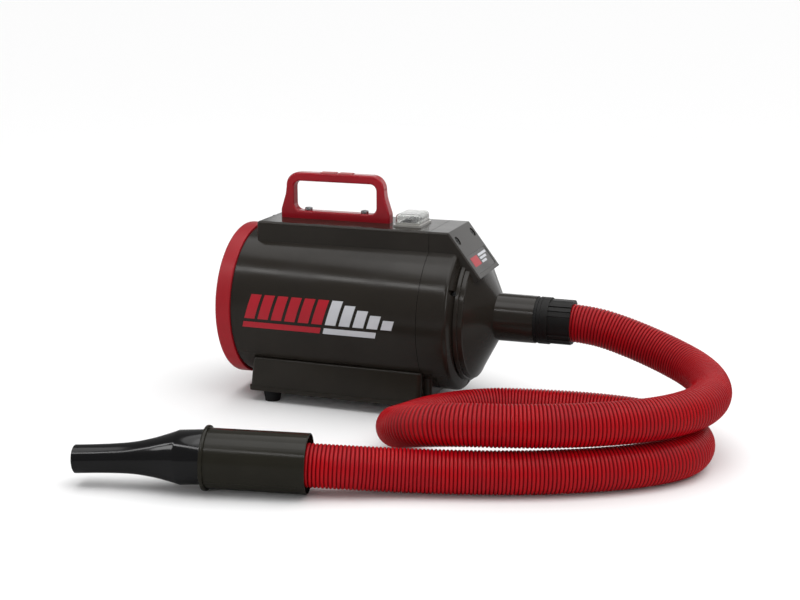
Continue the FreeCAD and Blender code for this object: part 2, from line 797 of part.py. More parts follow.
def cord_gland():
    """Threaded gland for the power lead in the rear face of the box."""
    start = "Sizes.boxRearX"
    hexagon = doc.addObject("Part::Prism", "GlandHexagon")
    hexagon.Polygon = 6
    hexagon.Circumradius = 6.4
    hexagon.Height = 4
    hexagon.Placement.Rotation = turns["x"]
    place(hexagon, (f"{start} - 4", gland_y, gland_z))
    dome = doc.addObject("Part::Cone", "GlandDome")
    dome.Radius1 = 4.2
    dome.Radius2 = 5.2
    dome.Height = 8
    dome.Placement.Rotation = turns["x"]
    place(dome, (f"{start} - 12", gland_y, gland_z))
    thread = rod("GlandThread", "4.6", "11", (start, gland_y, gland_z))
    bore = rod("GlandBore", "3.4", "40", (f"{start} - 20", gland_y, gland_z))
    solid = fuse("GlandSolid", [hexagon, dome, thread])
    return node(cut("CordGland", solid, [bore]), "cord_gland")


def gland_nut():
    nut = doc.addObject("Part::Prism", "GlandNutHexagon")
    nut.Polygon = 6
    nut.Circumradius = 6.4
    nut.Height = 4
    nut.Placement.Rotation = turns["x"]
    place(nut, ("Sizes.boxRearX + Sizes.wall", gland_y, gland_z))
    hole = rod("GlandNutHole", "4.65", "10", ("Sizes.boxRearX", gland_y, gland_z))
    return node(cut("GlandNut", nut, [hole]), "gland_nut")


def circuit_board():
    """Speed board on four posts under the top of the box."""
    low = ("-40", "-30", "Sizes.boxTop - 15")
    high = ("4", "30", "Sizes.boxTop - 13.4")
    board = block("Board", low, high)
    chip = block("BoardChip", ("-34", "-22", "Sizes.boxTop - 13.4"),
                 ("-16", "-5", "Sizes.boxTop - 7"))
    coil = rod("BoardCoil", "5", "8", ("-6", "14", "Sizes.boxTop - 13.4"), "z")
    sink = block("BoardSink", ("-34", "8", "Sizes.boxTop - 13.4"),
                 ("-20", "24", "Sizes.boxTop - 5"))
    node(fuse("CircuitBoard", [board, chip, coil, sink]), "circuit_board")
    posts = []
    for i, (x, y) in enumerate(((-37, -27), (-37, 27), (1, -27), (1, 27))):
        base = (str(x), str(y), "Sizes.boxTop - 13.4")
        posts.append(rod(f"BoardPost{i}", "2.4", "13.4 - Sizes.wall", base, "z"))
    node(group("BoardPosts", posts), "board_posts")


def terminal_block():
    low = ("-122", "-16", "Sizes.boxTop - 13")
    high = ("-106", "16", "Sizes.boxTop - Sizes.wall")
    return node(block("TerminalBlock", low, high), "terminal_block")


motor_starts = (-150, -40)


def motor(number, start):
    """One blower: shroud with its fan, then the motor that drives it."""
    tag = f"M{number}"

    def at(offset):
        return (f"{start + offset}", axisY, axisZ)

    shroud_skin = rod(tag + "ShroudSkin", "Sizes.fanRadius", "34", at(0))
    shroud_room = rod(tag + "ShroudRoom", "Sizes.fanRadius - 1.2", "31.6", at(1.2))
    inlet = rod(tag + "ShroudInlet", "20", "10", at(-4))
    outlet = rod(tag + "ShroudOutlet", "30", "10", at(28))
    shroud = cut(tag + "Shroud", shroud_skin, [shroud_room, inlet, outlet])
    node(shroud, f"fan_shroud_{number}")
    seal = tube(tag + "Seal", "Sizes.barrelRadius - Sizes.wall", "Sizes.fanRadius", "12", at(10))
    node(seal, f"motor_seal_{number}")
    frame_skin = rod(tag + "FrameSkin", "Sizes.motorRadius", "62", at(34))
    frame_room = rod(tag + "FrameRoom", "Sizes.motorRadius - 2", "55", at(37))
    frame_mouth = rod(tag + "FrameMouth", "9", "80", at(30))
    vents = []
    for i in range(6):
        angle = 60 * i + 30
        vents.append(radial_rod(f"{tag}Vent{i}", 7, 20, start + 82, angle, 34))
    for i in range(6):
        angle = math.radians(60 * i)
        base = (f"{start + 30}", f"{21 * math.cos(angle)}",
                f"Sizes.axisHeight + {21 * math.sin(angle)}")
        vents.append(rod(f"{tag}FrontVent{i}", "5.5", "8", base))
    frame = cut(tag + "Frame", frame_skin, [frame_room, frame_mouth] + vents)
    node(frame, f"motor_frame_{number}")
    stator = tube(tag + "Stator", "Sizes.motorRadius - 2", "25.5", "30", at(42))
    node(stator, f"stator_{number}")
    bearings = []
    for i, offset in enumerate((34, 92)):
        name = f"{tag}Bearing{i}"
        bearings.append(tube(name, "9", "Sizes.shaftRadius + 0.05", "4", at(offset)))
    node(group(tag + "Bearings", bearings), f"motor_bearings_{number}")
    brushes = []
    for i, side in enumerate((-1, 1)):
        low = (f"{start + 80}", f"{min(side * 13, side * 41.8)}", "Sizes.axisHeight - 4")
        high = (f"{start + 88}", f"{max(side * 13, side * 41.8)}", "Sizes.axisHeight + 4")
        brushes.append(block(f"{tag}Brush{i}", low, high))
    node(group(tag + "Brushes", brushes), f"brush_holders_{number}")
    shaft = rod(tag + "Shaft", "Sizes.shaftRadius", "91", at(5))
    core = rod(tag + "Core", "24.5", "30", at(42))
    commutator = rod(tag + "Commutator", "12", "12", at(78))
    node(fuse(tag + "Armature", [shaft, core, commutator]), f"armature_{number}")
    disc = rod(tag + "FanDisc", "60", "1.2", at(24))
    cone = rod(tag + "FanHub", "9", "17", at(8))
    bore = rod(tag + "FanBore", "Sizes.shaftRadius", "60", at(-10))
    blades = []
    for i in range(9):
        blade = doc.addObject("Part::Box", f"{tag}Blade{i}")
        blade.Length = 14
        blade.Width = 1.2
        blade.Height = 42
        turn = Rotation(alongX, 40 * i)
        lean = Rotation(alongX, 24)
        root = turn.multVec(Vector(0, 0, 17))
        corner = Vector(start + 10, 0, size("axisHeight")) + root
        blade.Placement = FreeCAD.Placement(corner, turn.multiply(lean))
        blades.append(blade)
    trim = tube(tag + "FanTrim", "90", "60", "40", at(0))
    bladed = cut(tag + "FanBlades", fuse(tag + "FanBladeSet", blades), [trim])
    fan = cut(tag + "Fan", fuse(tag + "FanSolid", [disc, cone, bladed]), [bore])
    node(fan, f"fan_{number}")


def foam_liner():
    """Sound foam round the second motor, split to clear the floor screws."""
    base = ("24", axisY, axisZ)
    ring = tube("LinerRing", "Sizes.barrelRadius - Sizes.wall", "78", "30", base)
    low = ("20", "-50", "Sizes.axisHeight")
    high = ("60", "50", "Sizes.axisHeight + 100")
    gap = block("LinerGap", low, high)
    return node(cut("FoamLiner", ring, [gap]), "foam_liner")


def hose_cuff():
    """Swivel cuff: spigot in the outlet, ribbed grip, seat for the hose."""
    first = "Sizes.halfLength - 20"

    def along(station):
        return f"{station} - ({first})"

    corners = [
        ("0", "Sizes.hoseBore"),
        ("0", "Sizes.tubeBore - Sizes.fitGap"),
        ("8", "Sizes.tubeBore - Sizes.fitGap"),
        ("8", "Sizes.tubeBore - 1.4"),
        ("10.2", "Sizes.tubeBore - 1.4"),
        ("10.2", "Sizes.tubeBore - Sizes.fitGap"),
        (along("Sizes.halfLength + 0.8"), "Sizes.tubeBore - Sizes.fitGap"),
        (along("Sizes.halfLength + 0.8"), "Sizes.cuffCollarRadius"),
        (along("Sizes.halfLength + 4"), "Sizes.cuffCollarRadius"),
        (along("Sizes.halfLength + 4"), "Sizes.cuffCollarRadius - 0.8"),
        (along("Sizes.halfLength + 5"), "Sizes.cuffCollarRadius - 0.8"),
        (along("Sizes.halfLength + 5"), "Sizes.cuffCollarRadius"),
        (along("Sizes.halfLength + 13"), "Sizes.cuffCollarRadius"),
        (along("Sizes.halfLength + 13"), "Sizes.tubeBore - 0.2"),
        (along("Sizes.cuffEndX"), "Sizes.tubeBore - 0.2"),
        (along("Sizes.cuffEndX"), "Sizes.hoseRadius + 0.3"),
        (along("Sizes.hoseStartX - 0.4"), "Sizes.hoseRadius + 0.3"),
        (along("Sizes.hoseStartX - 0.4"), "Sizes.hoseBore"),
    ]
    turned_cuff = turned("CuffBody", corners, (first, axisY, axisZ))
    ribs = []
    for i in range(12):
        rib = doc.addObject("Part::Box", f"CuffRib{i}")
        rib.Length = size("cuffEndX") - size("halfLength") - 12.5
        rib.Width = 4.6
        rib.Height = 2.4
        turn = Rotation(alongX, 90 * (i // 3) + 14 * (i % 3) + 31)
        offset = turn.multVec(Vector(0, -2.3, size("tubeBore") - 1.4))
        start = Vector(size("halfLength") + 12.5, 0, size("axisHeight"))
        rib.Placement = FreeCAD.Placement(start + offset, turn)
        ribs.append(rib)
    node(fuse("HoseCuff", [turned_cuff] + ribs), "hose_cuff")
    base = (f"{first} + 8.1", axisY, axisZ)
    seal = tube("CuffSeal", "Sizes.tubeBore - 0.05", "Sizes.tubeBore - 1.4", "2", base)
    node(seal, "cuff_seal")


# Route of the hose from the cuff to the wand, chosen point by point.
route = [
    (207, 0, 109),
    (244, 0, 109),
    (290, -3, 98),
    (336, -15, 85),
    (375, -42, 75.5),
    (394, -84, 69.5),
    (390, -132, 67),
    (364, -174, 66),
    (326, -207, 66),
    (276, -236, 66),
    (222, -256, 66),
    (170, -270, 66.5),
    (121, -267, 59.5),
    (87, -228, 41),
    (78, -175, 26),
    (95, -117, 22.3),
    (146, -71, 22),
    (204, -59, 22),
    (260, -52, 22),
    (312, -55, 22),
    (356, -74, 22),
    (381, -111, 22),
    (382, -154, 22),
    (361, -187, 22),
    (322, -219, 22),
    (270, -248, 22),
    (222, -268, 22),
    (166, -286, 22.3),
    (108, -304, 24),
    (56.9, -325.6, 28.4),
    (6.3, -337.4, 29.6),
]
wand_left = Vector(-61.9, -353.3, 32.5)
wand_right = Vector(35.6, -330.6, 30.4)
wand_way = (wand_right - wand_left).normalize()
wand_turn = Rotation(alongX, wand_way)
wand_start = wand_left - wand_way * 3.5


def hose_path(points):
    """Straight runs joined by tangent arcs; returns the wire and its radii."""
    spots = [Vector(*point) for point in points]
    edges = []
    radii = []
    last = spots[0]
    for before, corner, after in zip(spots, spots[1:], spots[2:]):
        into = corner - before
        away = after - corner
        turn = into.getAngle(away)
        reach = 0.45 * min(into.Length, away.Length)
        radius = reach / math.tan(turn / 2)
        into.normalize()
        away.normalize()
        start = corner - into * reach
        end = corner + away * reach
        inward = (away - into).normalize()
        centre = corner + inward * (radius / math.cos(turn / 2))
        middle = centre - inward * radius
        edges.append(Part.LineSegment(last, start).toShape())
        edges.append(Part.Arc(start, middle, end).toShape())
        radii.append(radius)
        last = end
    edges.append(Part.LineSegment(last, spots[-1]).toShape())
    return Part.Wire(edges), radii


def swept(wire, radius):
    start = wire.Vertexes[0].Point
    heading = wire.Edges[0].tangentAt(wire.Edges[0].FirstParameter)
    ring = Part.Wire(Part.makeCircle(radius, start, heading))
    return wire.makePipeShell([ring], True, True)


def hose():
    wire, radii = hose_path(route)
    outside = swept(wire, size("hoseRadius"))
    inside = swept(wire, size("hoseBore"))
    shape = outside.cut(inside)
    section = math.pi * (size("hoseRadius") ** 2 - size("hoseBore") ** 2)
    print("hose length", round(wire.Length, 1))
    print("hose radii", [round(radius) for radius in radii])
    print("hose volume over section x length", round(shape.Volume / section / wire.Length, 4))
    item = doc.addObject("Part::Feature", "Hose")
    item.Shape = shape
    return node(item, "hose")


def wand():
    """Sleeve at the far end of the hose, with the collar that holds the hose in it."""
    corners = [
        ("0", "Sizes.sleeveBore"),
        ("0", "Sizes.sleeveRadius + 1.7"),
        ("1", "Sizes.sleeveRadius + 2.5"),
        ("3", "Sizes.sleeveRadius + 2.5"),
        ("4", "Sizes.sleeveRadius + 1.5"),
        ("4", "Sizes.sleeveRadius"),
        ("Sizes.sleeveLength", "Sizes.sleeveRadius"),
        ("Sizes.sleeveLength", "Sizes.sleeveBore"),
        ("38", "Sizes.sleeveBore"),
        ("38", "23"),
        ("34", "23"),
        ("34", "Sizes.sleeveBore"),
    ]
    sleeve = turned("WandSleeve", corners)
    sleeve.Placement = FreeCAD.Placement(wand_start, wand_turn)
    node(sleeve, "wand_sleeve")
    corners = [
        ("0", "Sizes.hoseBore"),
        ("0", "Sizes.sleeveBore - 1.9"),
        ("30", "Sizes.sleeveBore - 1.9"),
        ("30", "Sizes.hoseRadius + 0.3"),
        ("6", "Sizes.hoseRadius + 0.3"),
        ("6", "Sizes.hoseBore"),
    ]
    collar = turned("HoseEndCollar", corners)
    hose_end = Vector(*route[-1])
    collar.Placement = FreeCAD.Placement(hose_end - wand_way * 6, wand_turn)
    node(collar, "hose_end_collar")


nozzle_droop = 4.4
nozzle_sunk = 14
nozzle_shoulder = nozzle_sunk + 25
# Radius of the flare at each distance past the shoulder.
nozzle_flare = [(12.5, 23.4), (27.5, 19.5), (47.5, 16.1), (70, 14.7)]
nozzle_length = nozzle_shoulder + 108


def nozzle_side(inset):
    """Side line of the nozzle from its sunk end to its tip, moved inwards by inset."""
    wide = size("nozzleRadius") - inset
    narrow = size("nozzleTipRadius") - inset
    bend = [Vector(nozzle_shoulder, 0, wide)]
    bend += [Vector(nozzle_shoulder + x, 0, radius - inset) for x, radius in nozzle_flare]
    bend.append(Vector(nozzle_length - 14, 0, narrow))
    curve = Part.BSplineCurve()
    curve.interpolate(Points=bend, InitialTangent=Vector(1, 0, -0.34),
                      FinalTangent=Vector(1, 0, 0))
    start = Vector(0, 0, wide - 1.2)
    straight = Vector(nozzle_sunk, 0, wide)
    lead = [Part.LineSegment(start, straight), Part.LineSegment(straight, bend[0])]
    tip = Part.LineSegment(bend[-1], Vector(nozzle_length, 0, narrow))
    return [line.toShape() for line in lead + [curve, tip]]


def nozzle():
    """Trumpet nozzle pushed into the sleeve; it sits a little low in its loose socket."""
    outer = nozzle_side(0)
    inner = nozzle_side(size("nozzleWall"))
    ends = []
    for i, j in ((0, 0), (-1, -1)):
        first = outer[i].Vertexes[j].Point
        second = inner[i].Vertexes[j].Point
        ends.append(Part.LineSegment(first, second).toShape())
    section = Part.Face(Part.Wire(Part.sortEdges(outer + inner + ends)[0]))
    cone = doc.addObject("Part::Feature", "Nozzle")
    cone.Shape = section.revolve(Vector(), alongX, 360)
    sideways = wand_way.cross(alongZ).normalize()
    droop = Rotation(sideways, nozzle_droop)
    way = droop.multVec(wand_way * -1)
    mouth = wand_start + Vector(0, 0, 1)
    cone.Placement = FreeCAD.Placement(mouth - way * nozzle_sunk, Rotation(alongX, way))
    print("nozzle way", [round(value, 4) for value in way])
    reach = nozzle_length - nozzle_sunk
    print("nozzle tip", [round(value, 2) for value in mouth + way * reach])
    return node(cone, "nozzle")


def write_parts():
    doc.recompute()
    failed = []
    for item in doc.Objects:
        if "Invalid" in item.State or "Error" in item.State:
            failed.append(item.Name)
    for item in nodes:
        if item.Shape.isNull() or not item.Shape.isValid():
            failed.append(item.Label)
    if failed:
        raise SystemExit(f"failed objects: {failed}")
    for old in os.listdir("parts"):
        os.remove(os.path.join("parts", old))
    for item in nodes:
        item.Shape.exportStep(f"parts/{item.Label}.step")
    print(len(nodes), "nodes")


barrel_shell()
front_housing()
outlet_seal()
housing_screws()
panel_plate()
filter_ring()
intake_grille()
foam_filter()
handle()
handle_pads()
handle_screws()
switch()
switch_cover()
base_plinth()
base_screws()
feet()
cord_gland()
gland_nut()
circuit_board()
terminal_block()
for count, motor_start in enumerate(motor_starts, start=1):
    motor(count, motor_start)
foam_liner()
hose_cuff()
hose()
wand()
nozzle()
write_parts()
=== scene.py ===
import math

import bpy
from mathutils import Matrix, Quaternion, Vector


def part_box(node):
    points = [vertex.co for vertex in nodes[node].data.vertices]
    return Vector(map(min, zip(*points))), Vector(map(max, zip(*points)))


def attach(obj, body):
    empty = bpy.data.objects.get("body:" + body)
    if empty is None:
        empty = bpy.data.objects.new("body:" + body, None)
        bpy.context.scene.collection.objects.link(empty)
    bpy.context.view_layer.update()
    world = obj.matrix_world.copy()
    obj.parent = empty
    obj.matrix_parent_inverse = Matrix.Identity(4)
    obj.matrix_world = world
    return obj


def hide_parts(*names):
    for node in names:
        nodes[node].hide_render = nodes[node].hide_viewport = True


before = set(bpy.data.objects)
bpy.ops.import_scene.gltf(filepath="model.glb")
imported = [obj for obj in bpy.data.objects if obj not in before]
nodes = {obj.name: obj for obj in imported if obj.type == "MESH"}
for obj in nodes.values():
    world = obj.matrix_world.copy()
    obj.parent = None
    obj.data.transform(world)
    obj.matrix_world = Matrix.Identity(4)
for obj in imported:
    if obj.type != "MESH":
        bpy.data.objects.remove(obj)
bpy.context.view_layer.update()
mm = 0.001
axisHeight = 0.109  # the air path's centre line runs along X
barrelRadius = 0.090


def report(stage):
    print("pet dryer:", stage)


def deselectAll():
    if bpy.context.mode != "OBJECT":
        bpy.ops.object.mode_set(mode="OBJECT")
    bpy.ops.object.select_all(action="DESELECT")


def activate(piece):
    deselectAll()
    piece.select_set(True)
    bpy.context.view_layer.objects.active = piece


def newest(name):
    piece = bpy.context.active_object
    piece.name = name
    piece.data.name = name
    return piece


def applyPlace(piece):  # the place goes into the mesh, the object stays at the origin
    activate(piece)
    bpy.ops.object.transform_apply(location=True, rotation=True, scale=True)
    return piece


def addModifier(piece, kind, **settings):
    activate(piece)
    modifier = piece.modifiers.new(kind.title(), kind)
    for key, value in settings.items():
        setattr(modifier, key, value)
    bpy.ops.object.modifier_apply(modifier=modifier.name)
    return piece


def pickFaces(piece, wanted):
    activate(piece)
    bpy.ops.object.mode_set(mode="EDIT")
    bpy.ops.mesh.select_mode(type="FACE")
    bpy.ops.mesh.select_all(action="DESELECT")
    bpy.ops.object.mode_set(mode="OBJECT")
    for face in piece.data.polygons:
        face.select = wanted(face)
    bpy.ops.object.mode_set(mode="EDIT")


def joinPieces(pieces, name):
    deselectAll()
    for piece in pieces:
        piece.select_set(True)
    bpy.context.view_layer.objects.active = pieces[0]
    if len(pieces) > 1:
        bpy.ops.object.join()
    return newest(name)


def smooth(piece, degrees=35):
    activate(piece)
    bpy.ops.object.shade_smooth_by_angle(angle=math.radians(degrees))
    return piece


# camera

cameraView = {
    "place": (0.5335, -1.4788, 0.4939), "target": (0.0139, 0, 0.119),
    "lens": 60.75, "sensor": 36, "reach": 200,
}


def addCamera(view):
    place = Vector(view["place"])
    bpy.ops.object.camera_add(location=place)
    camera = bpy.context.active_object
    camera.name = "camera"
    aim = Vector(view["target"]) - place
    camera.rotation_euler = aim.to_track_quat("-Z", "Y").to_euler()
    camera.data.sensor_width = view["sensor"]
    camera.data.lens = view["lens"]
    camera.data.clip_end = view["reach"]
    bpy.context.scene.camera = camera


addCamera(cameraView)
report("camera placed")


# wand: the sleeve at the hose's far end and the trumpet nozzle pushed into it

wand = {
    "left": (-0.0619, -0.3533, 0.0325), "right": (0.0356, -0.3306, 0.0304), "back": 3.5,
    "around": 128, "weld": 0.00002, "smooth": 30,
    # distance from the mouth and radius, in mm, once round the wall
    "sleeve": [
        (0, 29), (0, 31.7), (0.35, 32.2), (1, 32.5), (3, 32.5), (3.65, 32.2), (4, 31.5),
        (4, 30), (30, 30), (70, 30), (103.2, 30), (103.7, 29.5), (103.7, 29), (38, 29),
        (38, 23), (34, 23), (34, 29),
    ],
}
trumpet = {
    "droop": 4.4, "sunk": 14, "raised": 1.0, "wall": 2.2,
    "wide": 27.2, "wideTaper": 1.2, "straight": 39,
    "tip": 14.3, "tipLength": 14, "tipChamfer": 0.5,
    # distance past the shoulder and radius, in mm
    "flare": [(0, 27.2), (12.5, 23.4), (27.5, 19.5), (47.5, 16.1), (70, 14.7), (94, 14.3)],
    "slope": -0.34, "steps": 6,
}


def easeThrough(points, steps, firstSlope):  # a smooth line through points along x
    slopes = [firstSlope]
    for before, after in zip(points, points[2:]):
        slopes.append((after[1] - before[1]) / (after[0] - before[0]))
    slopes.append(0)
    line = []
    for i in range(len(points) - 1):
        (x0, r0), (x1, r1) = points[i], points[i + 1]
        span = x1 - x0
        for step in range(steps):
            t = step / steps
            r = ((2 * t ** 3 - 3 * t ** 2 + 1) * r0 + (3 * t ** 2 - 2 * t ** 3) * r1
                 + (t ** 3 - 2 * t ** 2 + t) * span * slopes[i]
                 + (t ** 3 - t ** 2) * span * slopes[i + 1])
            line.append((x0 + span * t, r))
    line.append(points[-1])
    return line


def turnedPiece(name, profile, place, way):  # a ring drawn out along the profile
    deselectAll()
    height, radius = (value * mm for value in profile[0])
    bpy.ops.mesh.primitive_circle_add(vertices=wand["around"], radius=radius,
                                      location=(0, 0, height))
    piece = applyPlace(newest(name))
    bpy.ops.object.mode_set(mode="EDIT")
    bpy.ops.mesh.select_all(action="SELECT")
    for along, wanted in profile[1:] + profile[:1]:
        rise = along * mm - height
        height += rise
        bpy.ops.mesh.extrude_region_move(TRANSFORM_OT_translate={"value": (0, 0, rise)})
        share = wanted * mm / radius
        bpy.ops.transform.resize(value=(share, share, 1), center_override=(0, 0, height))
        radius = wanted * mm
    bpy.ops.mesh.select_all(action="SELECT")
    bpy.ops.mesh.remove_doubles(threshold=wand["weld"])
    bpy.ops.mesh.normals_make_consistent(inside=False)
    bpy.ops.object.mode_set(mode="OBJECT")
    piece.rotation_euler = way.to_track_quat("Z", "Y").to_euler()
    piece.location = place
    return smooth(applyPlace(piece), wand["smooth"])


def trumpetProfile(look):
    eased = easeThrough(look["flare"], look["steps"], look["slope"])
    flare = [(look["straight"] + x, r) for x, r in eased]
    length = flare[-1][0] + look["tipLength"]
    start = look["wide"] - look["wideTaper"]
    tip, chamfer, wall = look["tip"], look["tipChamfer"], look["wall"]
    outer = [(0, start), (look["sunk"], look["wide"])] + flare
    outer += [(length - chamfer, tip), (length, tip - chamfer), (length, tip - wall)]
    inner = [(x, r - wall) for x, r in reversed(flare)]
    return outer + inner + [(0, start - wall)]


def buildWand():
    left = Vector(wand["left"])
    way = (Vector(wand["right"]) - left).normalized()
    mouth = left - way * wand["back"] * mm
    sleeve = turnedPiece("wand_sleeve_turned", wand["sleeve"], mouth, way)
    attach(sleeve, "dryer")
    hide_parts("wand_sleeve")
    sideways = way.cross(Vector((0, 0, 1))).normalized()
    out = Quaternion(sideways, math.radians(trumpet["droop"])) @ -way
    start = mouth + Vector((0, 0, trumpet["raised"] * mm)) - out * trumpet["sunk"] * mm
    nozzle = turnedPiece("nozzle_trumpet", trumpetProfile(trumpet), start, out)
    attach(nozzle, "nozzle")
    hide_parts("nozzle")
    return sleeve, nozzle


sleeveTurned, nozzleTrumpet = buildWand()
report("wand turned")


# hose

hose = {
    "route": [
        (0.207, 0, 0.109), (0.244, 0, 0.109), (0.290, -0.003, 0.098),
        (0.336, -0.015, 0.085), (0.375, -0.042, 0.0755), (0.394, -0.084, 0.0695),
        (0.390, -0.132, 0.067), (0.364, -0.174, 0.066), (0.326, -0.207, 0.066),
        (0.276, -0.236, 0.066), (0.222, -0.256, 0.066), (0.170, -0.270, 0.0665),
        (0.121, -0.267, 0.0595), (0.087, -0.228, 0.041), (0.078, -0.175, 0.026),
        (0.095, -0.117, 0.0223), (0.146, -0.071, 0.022), (0.204, -0.059, 0.022),
        (0.260, -0.052, 0.022), (0.312, -0.055, 0.022), (0.356, -0.074, 0.022),
        (0.381, -0.111, 0.022), (0.382, -0.154, 0.022), (0.361, -0.187, 0.022),
        (0.322, -0.219, 0.022), (0.270, -0.248, 0.022), (0.222, -0.268, 0.022),
        (0.166, -0.286, 0.0223), (0.108, -0.304, 0.024), (0.0569, -0.3256, 0.0284),
        (0.0063, -0.3374, 0.0296),
    ],
    "radius": 0.0219,
    "grooveDepth": 0.0014,
    "bore": 0.0195,
    "pitch": 0.0039,
    "around": 36,
    "order": 3,
    "resolution": 24,
    "smooth": 80,
    # share of one rib's length, and how deep the groove is there
    "rib": [(0.0, 1.0), (0.13, 0.55), (0.27, 0.12), (0.5, 0.0), (0.73, 0.12), (0.87, 0.55)],
}


def splinePoints(spec):
    curve = bpy.data.curves.new("hoseLine", "CURVE")
    curve.dimensions = "3D"
    curve.resolution_u = spec["resolution"]
    spline = curve.splines.new("NURBS")
    spline.points.add(len(spec["route"]) - 1)
    for point, place in zip(spline.points, spec["route"]):
        point.co = (*place, 1)
    spline.order_u = spec["order"]
    spline.use_endpoint_u = True
    holder = bpy.data.objects.new("hoseLine", curve)
    bpy.context.scene.collection.objects.link(holder)
    line = bpy.data.meshes.new_from_object(holder)
    points = [vertex.co.copy() for vertex in line.vertices]
    bpy.data.objects.remove(holder)
    bpy.data.meshes.remove(line)
    bpy.data.curves.remove(curve)
    return points


def lengthsAlong(points):
    lengths = [0]
    for before, after in zip(points, points[1:]):
        lengths.append(lengths[-1] + (after - before).length)
    return lengths


def stationsOn(points, wanted):  # place and direction at each wanted distance
    lengths = lengthsAlong(points)
    stations = []
    index = 0
    for distance in wanted:
        while index < len(points) - 2 and lengths[index + 1] < distance:
            index += 1
        span = lengths[index + 1] - lengths[index]
        share = (distance - lengths[index]) / span
        stations.append(points[index].lerp(points[index + 1], share))
    ways = []
    for i in range(len(stations)):
        before = stations[max(i - 2, 0)]
        after = stations[min(i + 2, len(stations) - 1)]
        ways.append((after - before).normalized())
    return stations, ways


def ribStations(spec, length, ribs):  # distance and groove depth of every ring outside
    pitch = length / ribs
    wanted = [(rib + share) * pitch for rib in range(ribs) for share, depth in spec["rib"]]
    depths = [depth for rib in range(ribs) for share, depth in spec["rib"]]
    return wanted + [length], depths + [1.0]


def ringAround(place, way, side, radius, around):
    up = way.cross(side)
    turns = [2 * math.pi * j / around for j in range(around)]
    return [place + (side * math.cos(turn) + up * math.sin(turn)) * radius for turn in turns]


def ringFaces(rings, around):  # quads from each ring to the next, round to the first again
    faces = []
    for i in range(rings):
        following = (i + 1) % rings
        for j in range(around):
            k = (j + 1) % around
            faces.append((i * around + j, following * around + j,
                          following * around + k, i * around + k))
    return faces


def hoseMesh(spec, stations, ways, depths):
    around = spec["around"]
    vertices = []
    grooves = []
    sides = []
    side = Vector((0, 0, 1)).cross(ways[0]).normalized()
    for place, way, depth in zip(stations, ways, depths):
        side = (side - way * side.dot(way)).normalized()
        sides.append(side)
        radius = spec["radius"] - spec["grooveDepth"] * depth
        vertices += ringAround(place, way, side, radius, around)
        grooves += [depth] * around
    inner = list(range(0, len(stations), len(spec["rib"])))
    for i in reversed(inner):  # the bore runs back inside
        vertices += ringAround(stations[i], ways[i], sides[i], spec["bore"], around)
        # full depth here, so the bore also takes the painted groove shade
        grooves += [1.0] * around
    mesh = bpy.data.meshes.new("hose_ribbed")
    mesh.from_pydata(vertices, [], ringFaces(len(stations) + len(inner), around))
    # the groove depth also places the painted shade in the grooves and the bore
    attribute = mesh.attributes.new("grooveShade", "FLOAT", "POINT")
    attribute.data.foreach_set("value", grooves)
    return mesh


def buildHose(spec):
    points = splinePoints(spec)
    length = lengthsAlong(points)[-1]
    ribs = int(length / spec["pitch"])
    wanted, depths = ribStations(spec, length, ribs)
    stations, ways = stationsOn(points, wanted)
    piece = bpy.data.objects.new("hose_ribbed", hoseMesh(spec, stations, ways, depths))
    bpy.context.scene.collection.objects.link(piece)
    activate(piece)
    bpy.ops.object.mode_set(mode="EDIT")
    bpy.ops.mesh.select_all(action="SELECT")
    bpy.ops.mesh.normals_make_consistent(inside=False)
    bpy.ops.object.mode_set(mode="OBJECT")
    smooth(piece, spec["smooth"])
    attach(piece, "dryer")
    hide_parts("hose")
    onIt = [nodes[name] for name in ("hose_cuff", "cuff_seal", "hose_end_collar", "nozzle")]
    onIt.append(sleeveTurned)
    report(f"hose of {ribs} ribs, {length:.3f} m")
    return piece


ribbedHose = buildHose(hose)


# shader groups

def addNode(tree, kind, **settings):
    node = tree.nodes.new(kind)
    for key, value in settings.items():
        setattr(node, key, value)
    return node


def newGroup(name, inputs, outputs):
    tree = bpy.data.node_groups.new(name, "ShaderNodeTree")
    for label, kind, value in inputs:
        socket = tree.interface.new_socket(label, in_out="INPUT", socket_type=kind)
        if value is not None:
            socket.default_value = value
    for label, kind in outputs:
        tree.interface.new_socket(label, in_out="OUTPUT", socket_type=kind)
    start = addNode(tree, "NodeGroupInput")
    end = addNode(tree, "NodeGroupOutput")
    return tree, start, end


def mathNode(tree, operation, first, second=None, clamp=False):
    node = addNode(tree, "ShaderNodeMath", operation=operation, use_clamp=clamp)
    for socket, value in zip(node.inputs, (first, second)):
        if value is None:
            continue
        if isinstance(value, (int, float)):
            socket.default_value = value
        else:
            tree.links.new(value, socket)
    return node.outputs[0]


def ramp(tree, value, low, high, start=0.0, end=1.0):
    node = addNode(tree, "ShaderNodeMapRange", interpolation_type="SMOOTHSTEP")
    for socket, wanted in zip(node.inputs[:5], (value, low, high, start, end)):
        if isinstance(wanted, (int, float)):
            socket.default_value = wanted
        else:
            tree.links.new(wanted, socket)
    return node.outputs[0]


def mouldedGrainGroup():  # fine surface texture and slow changes of tone
    tree, start, end = newGroup(
        "mouldedGrain",
        [("Place", "NodeSocketVector", None), ("Grain Scale", "NodeSocketFloat", 900.0),
         ("Tone Scale", "NodeSocketFloat", 14.0)],
        [("Height", "NodeSocketFloat"), ("Tone", "NodeSocketFloat")])
    fine = addNode(tree, "ShaderNodeTexNoise")
    fine.inputs["Detail"].default_value = 3
    tree.links.new(start.outputs["Place"], fine.inputs["Vector"])
    tree.links.new(start.outputs["Grain Scale"], fine.inputs["Scale"])
    broad = addNode(tree, "ShaderNodeTexNoise")
    broad.inputs["Detail"].default_value = 4
    tree.links.new(start.outputs["Place"], broad.inputs["Vector"])
    tree.links.new(start.outputs["Tone Scale"], broad.inputs["Scale"])
    tree.links.new(fine.outputs[0], end.inputs["Height"])
    tree.links.new(ramp(tree, broad.outputs[0], 0.3, 0.7), end.inputs["Tone"])
    return tree


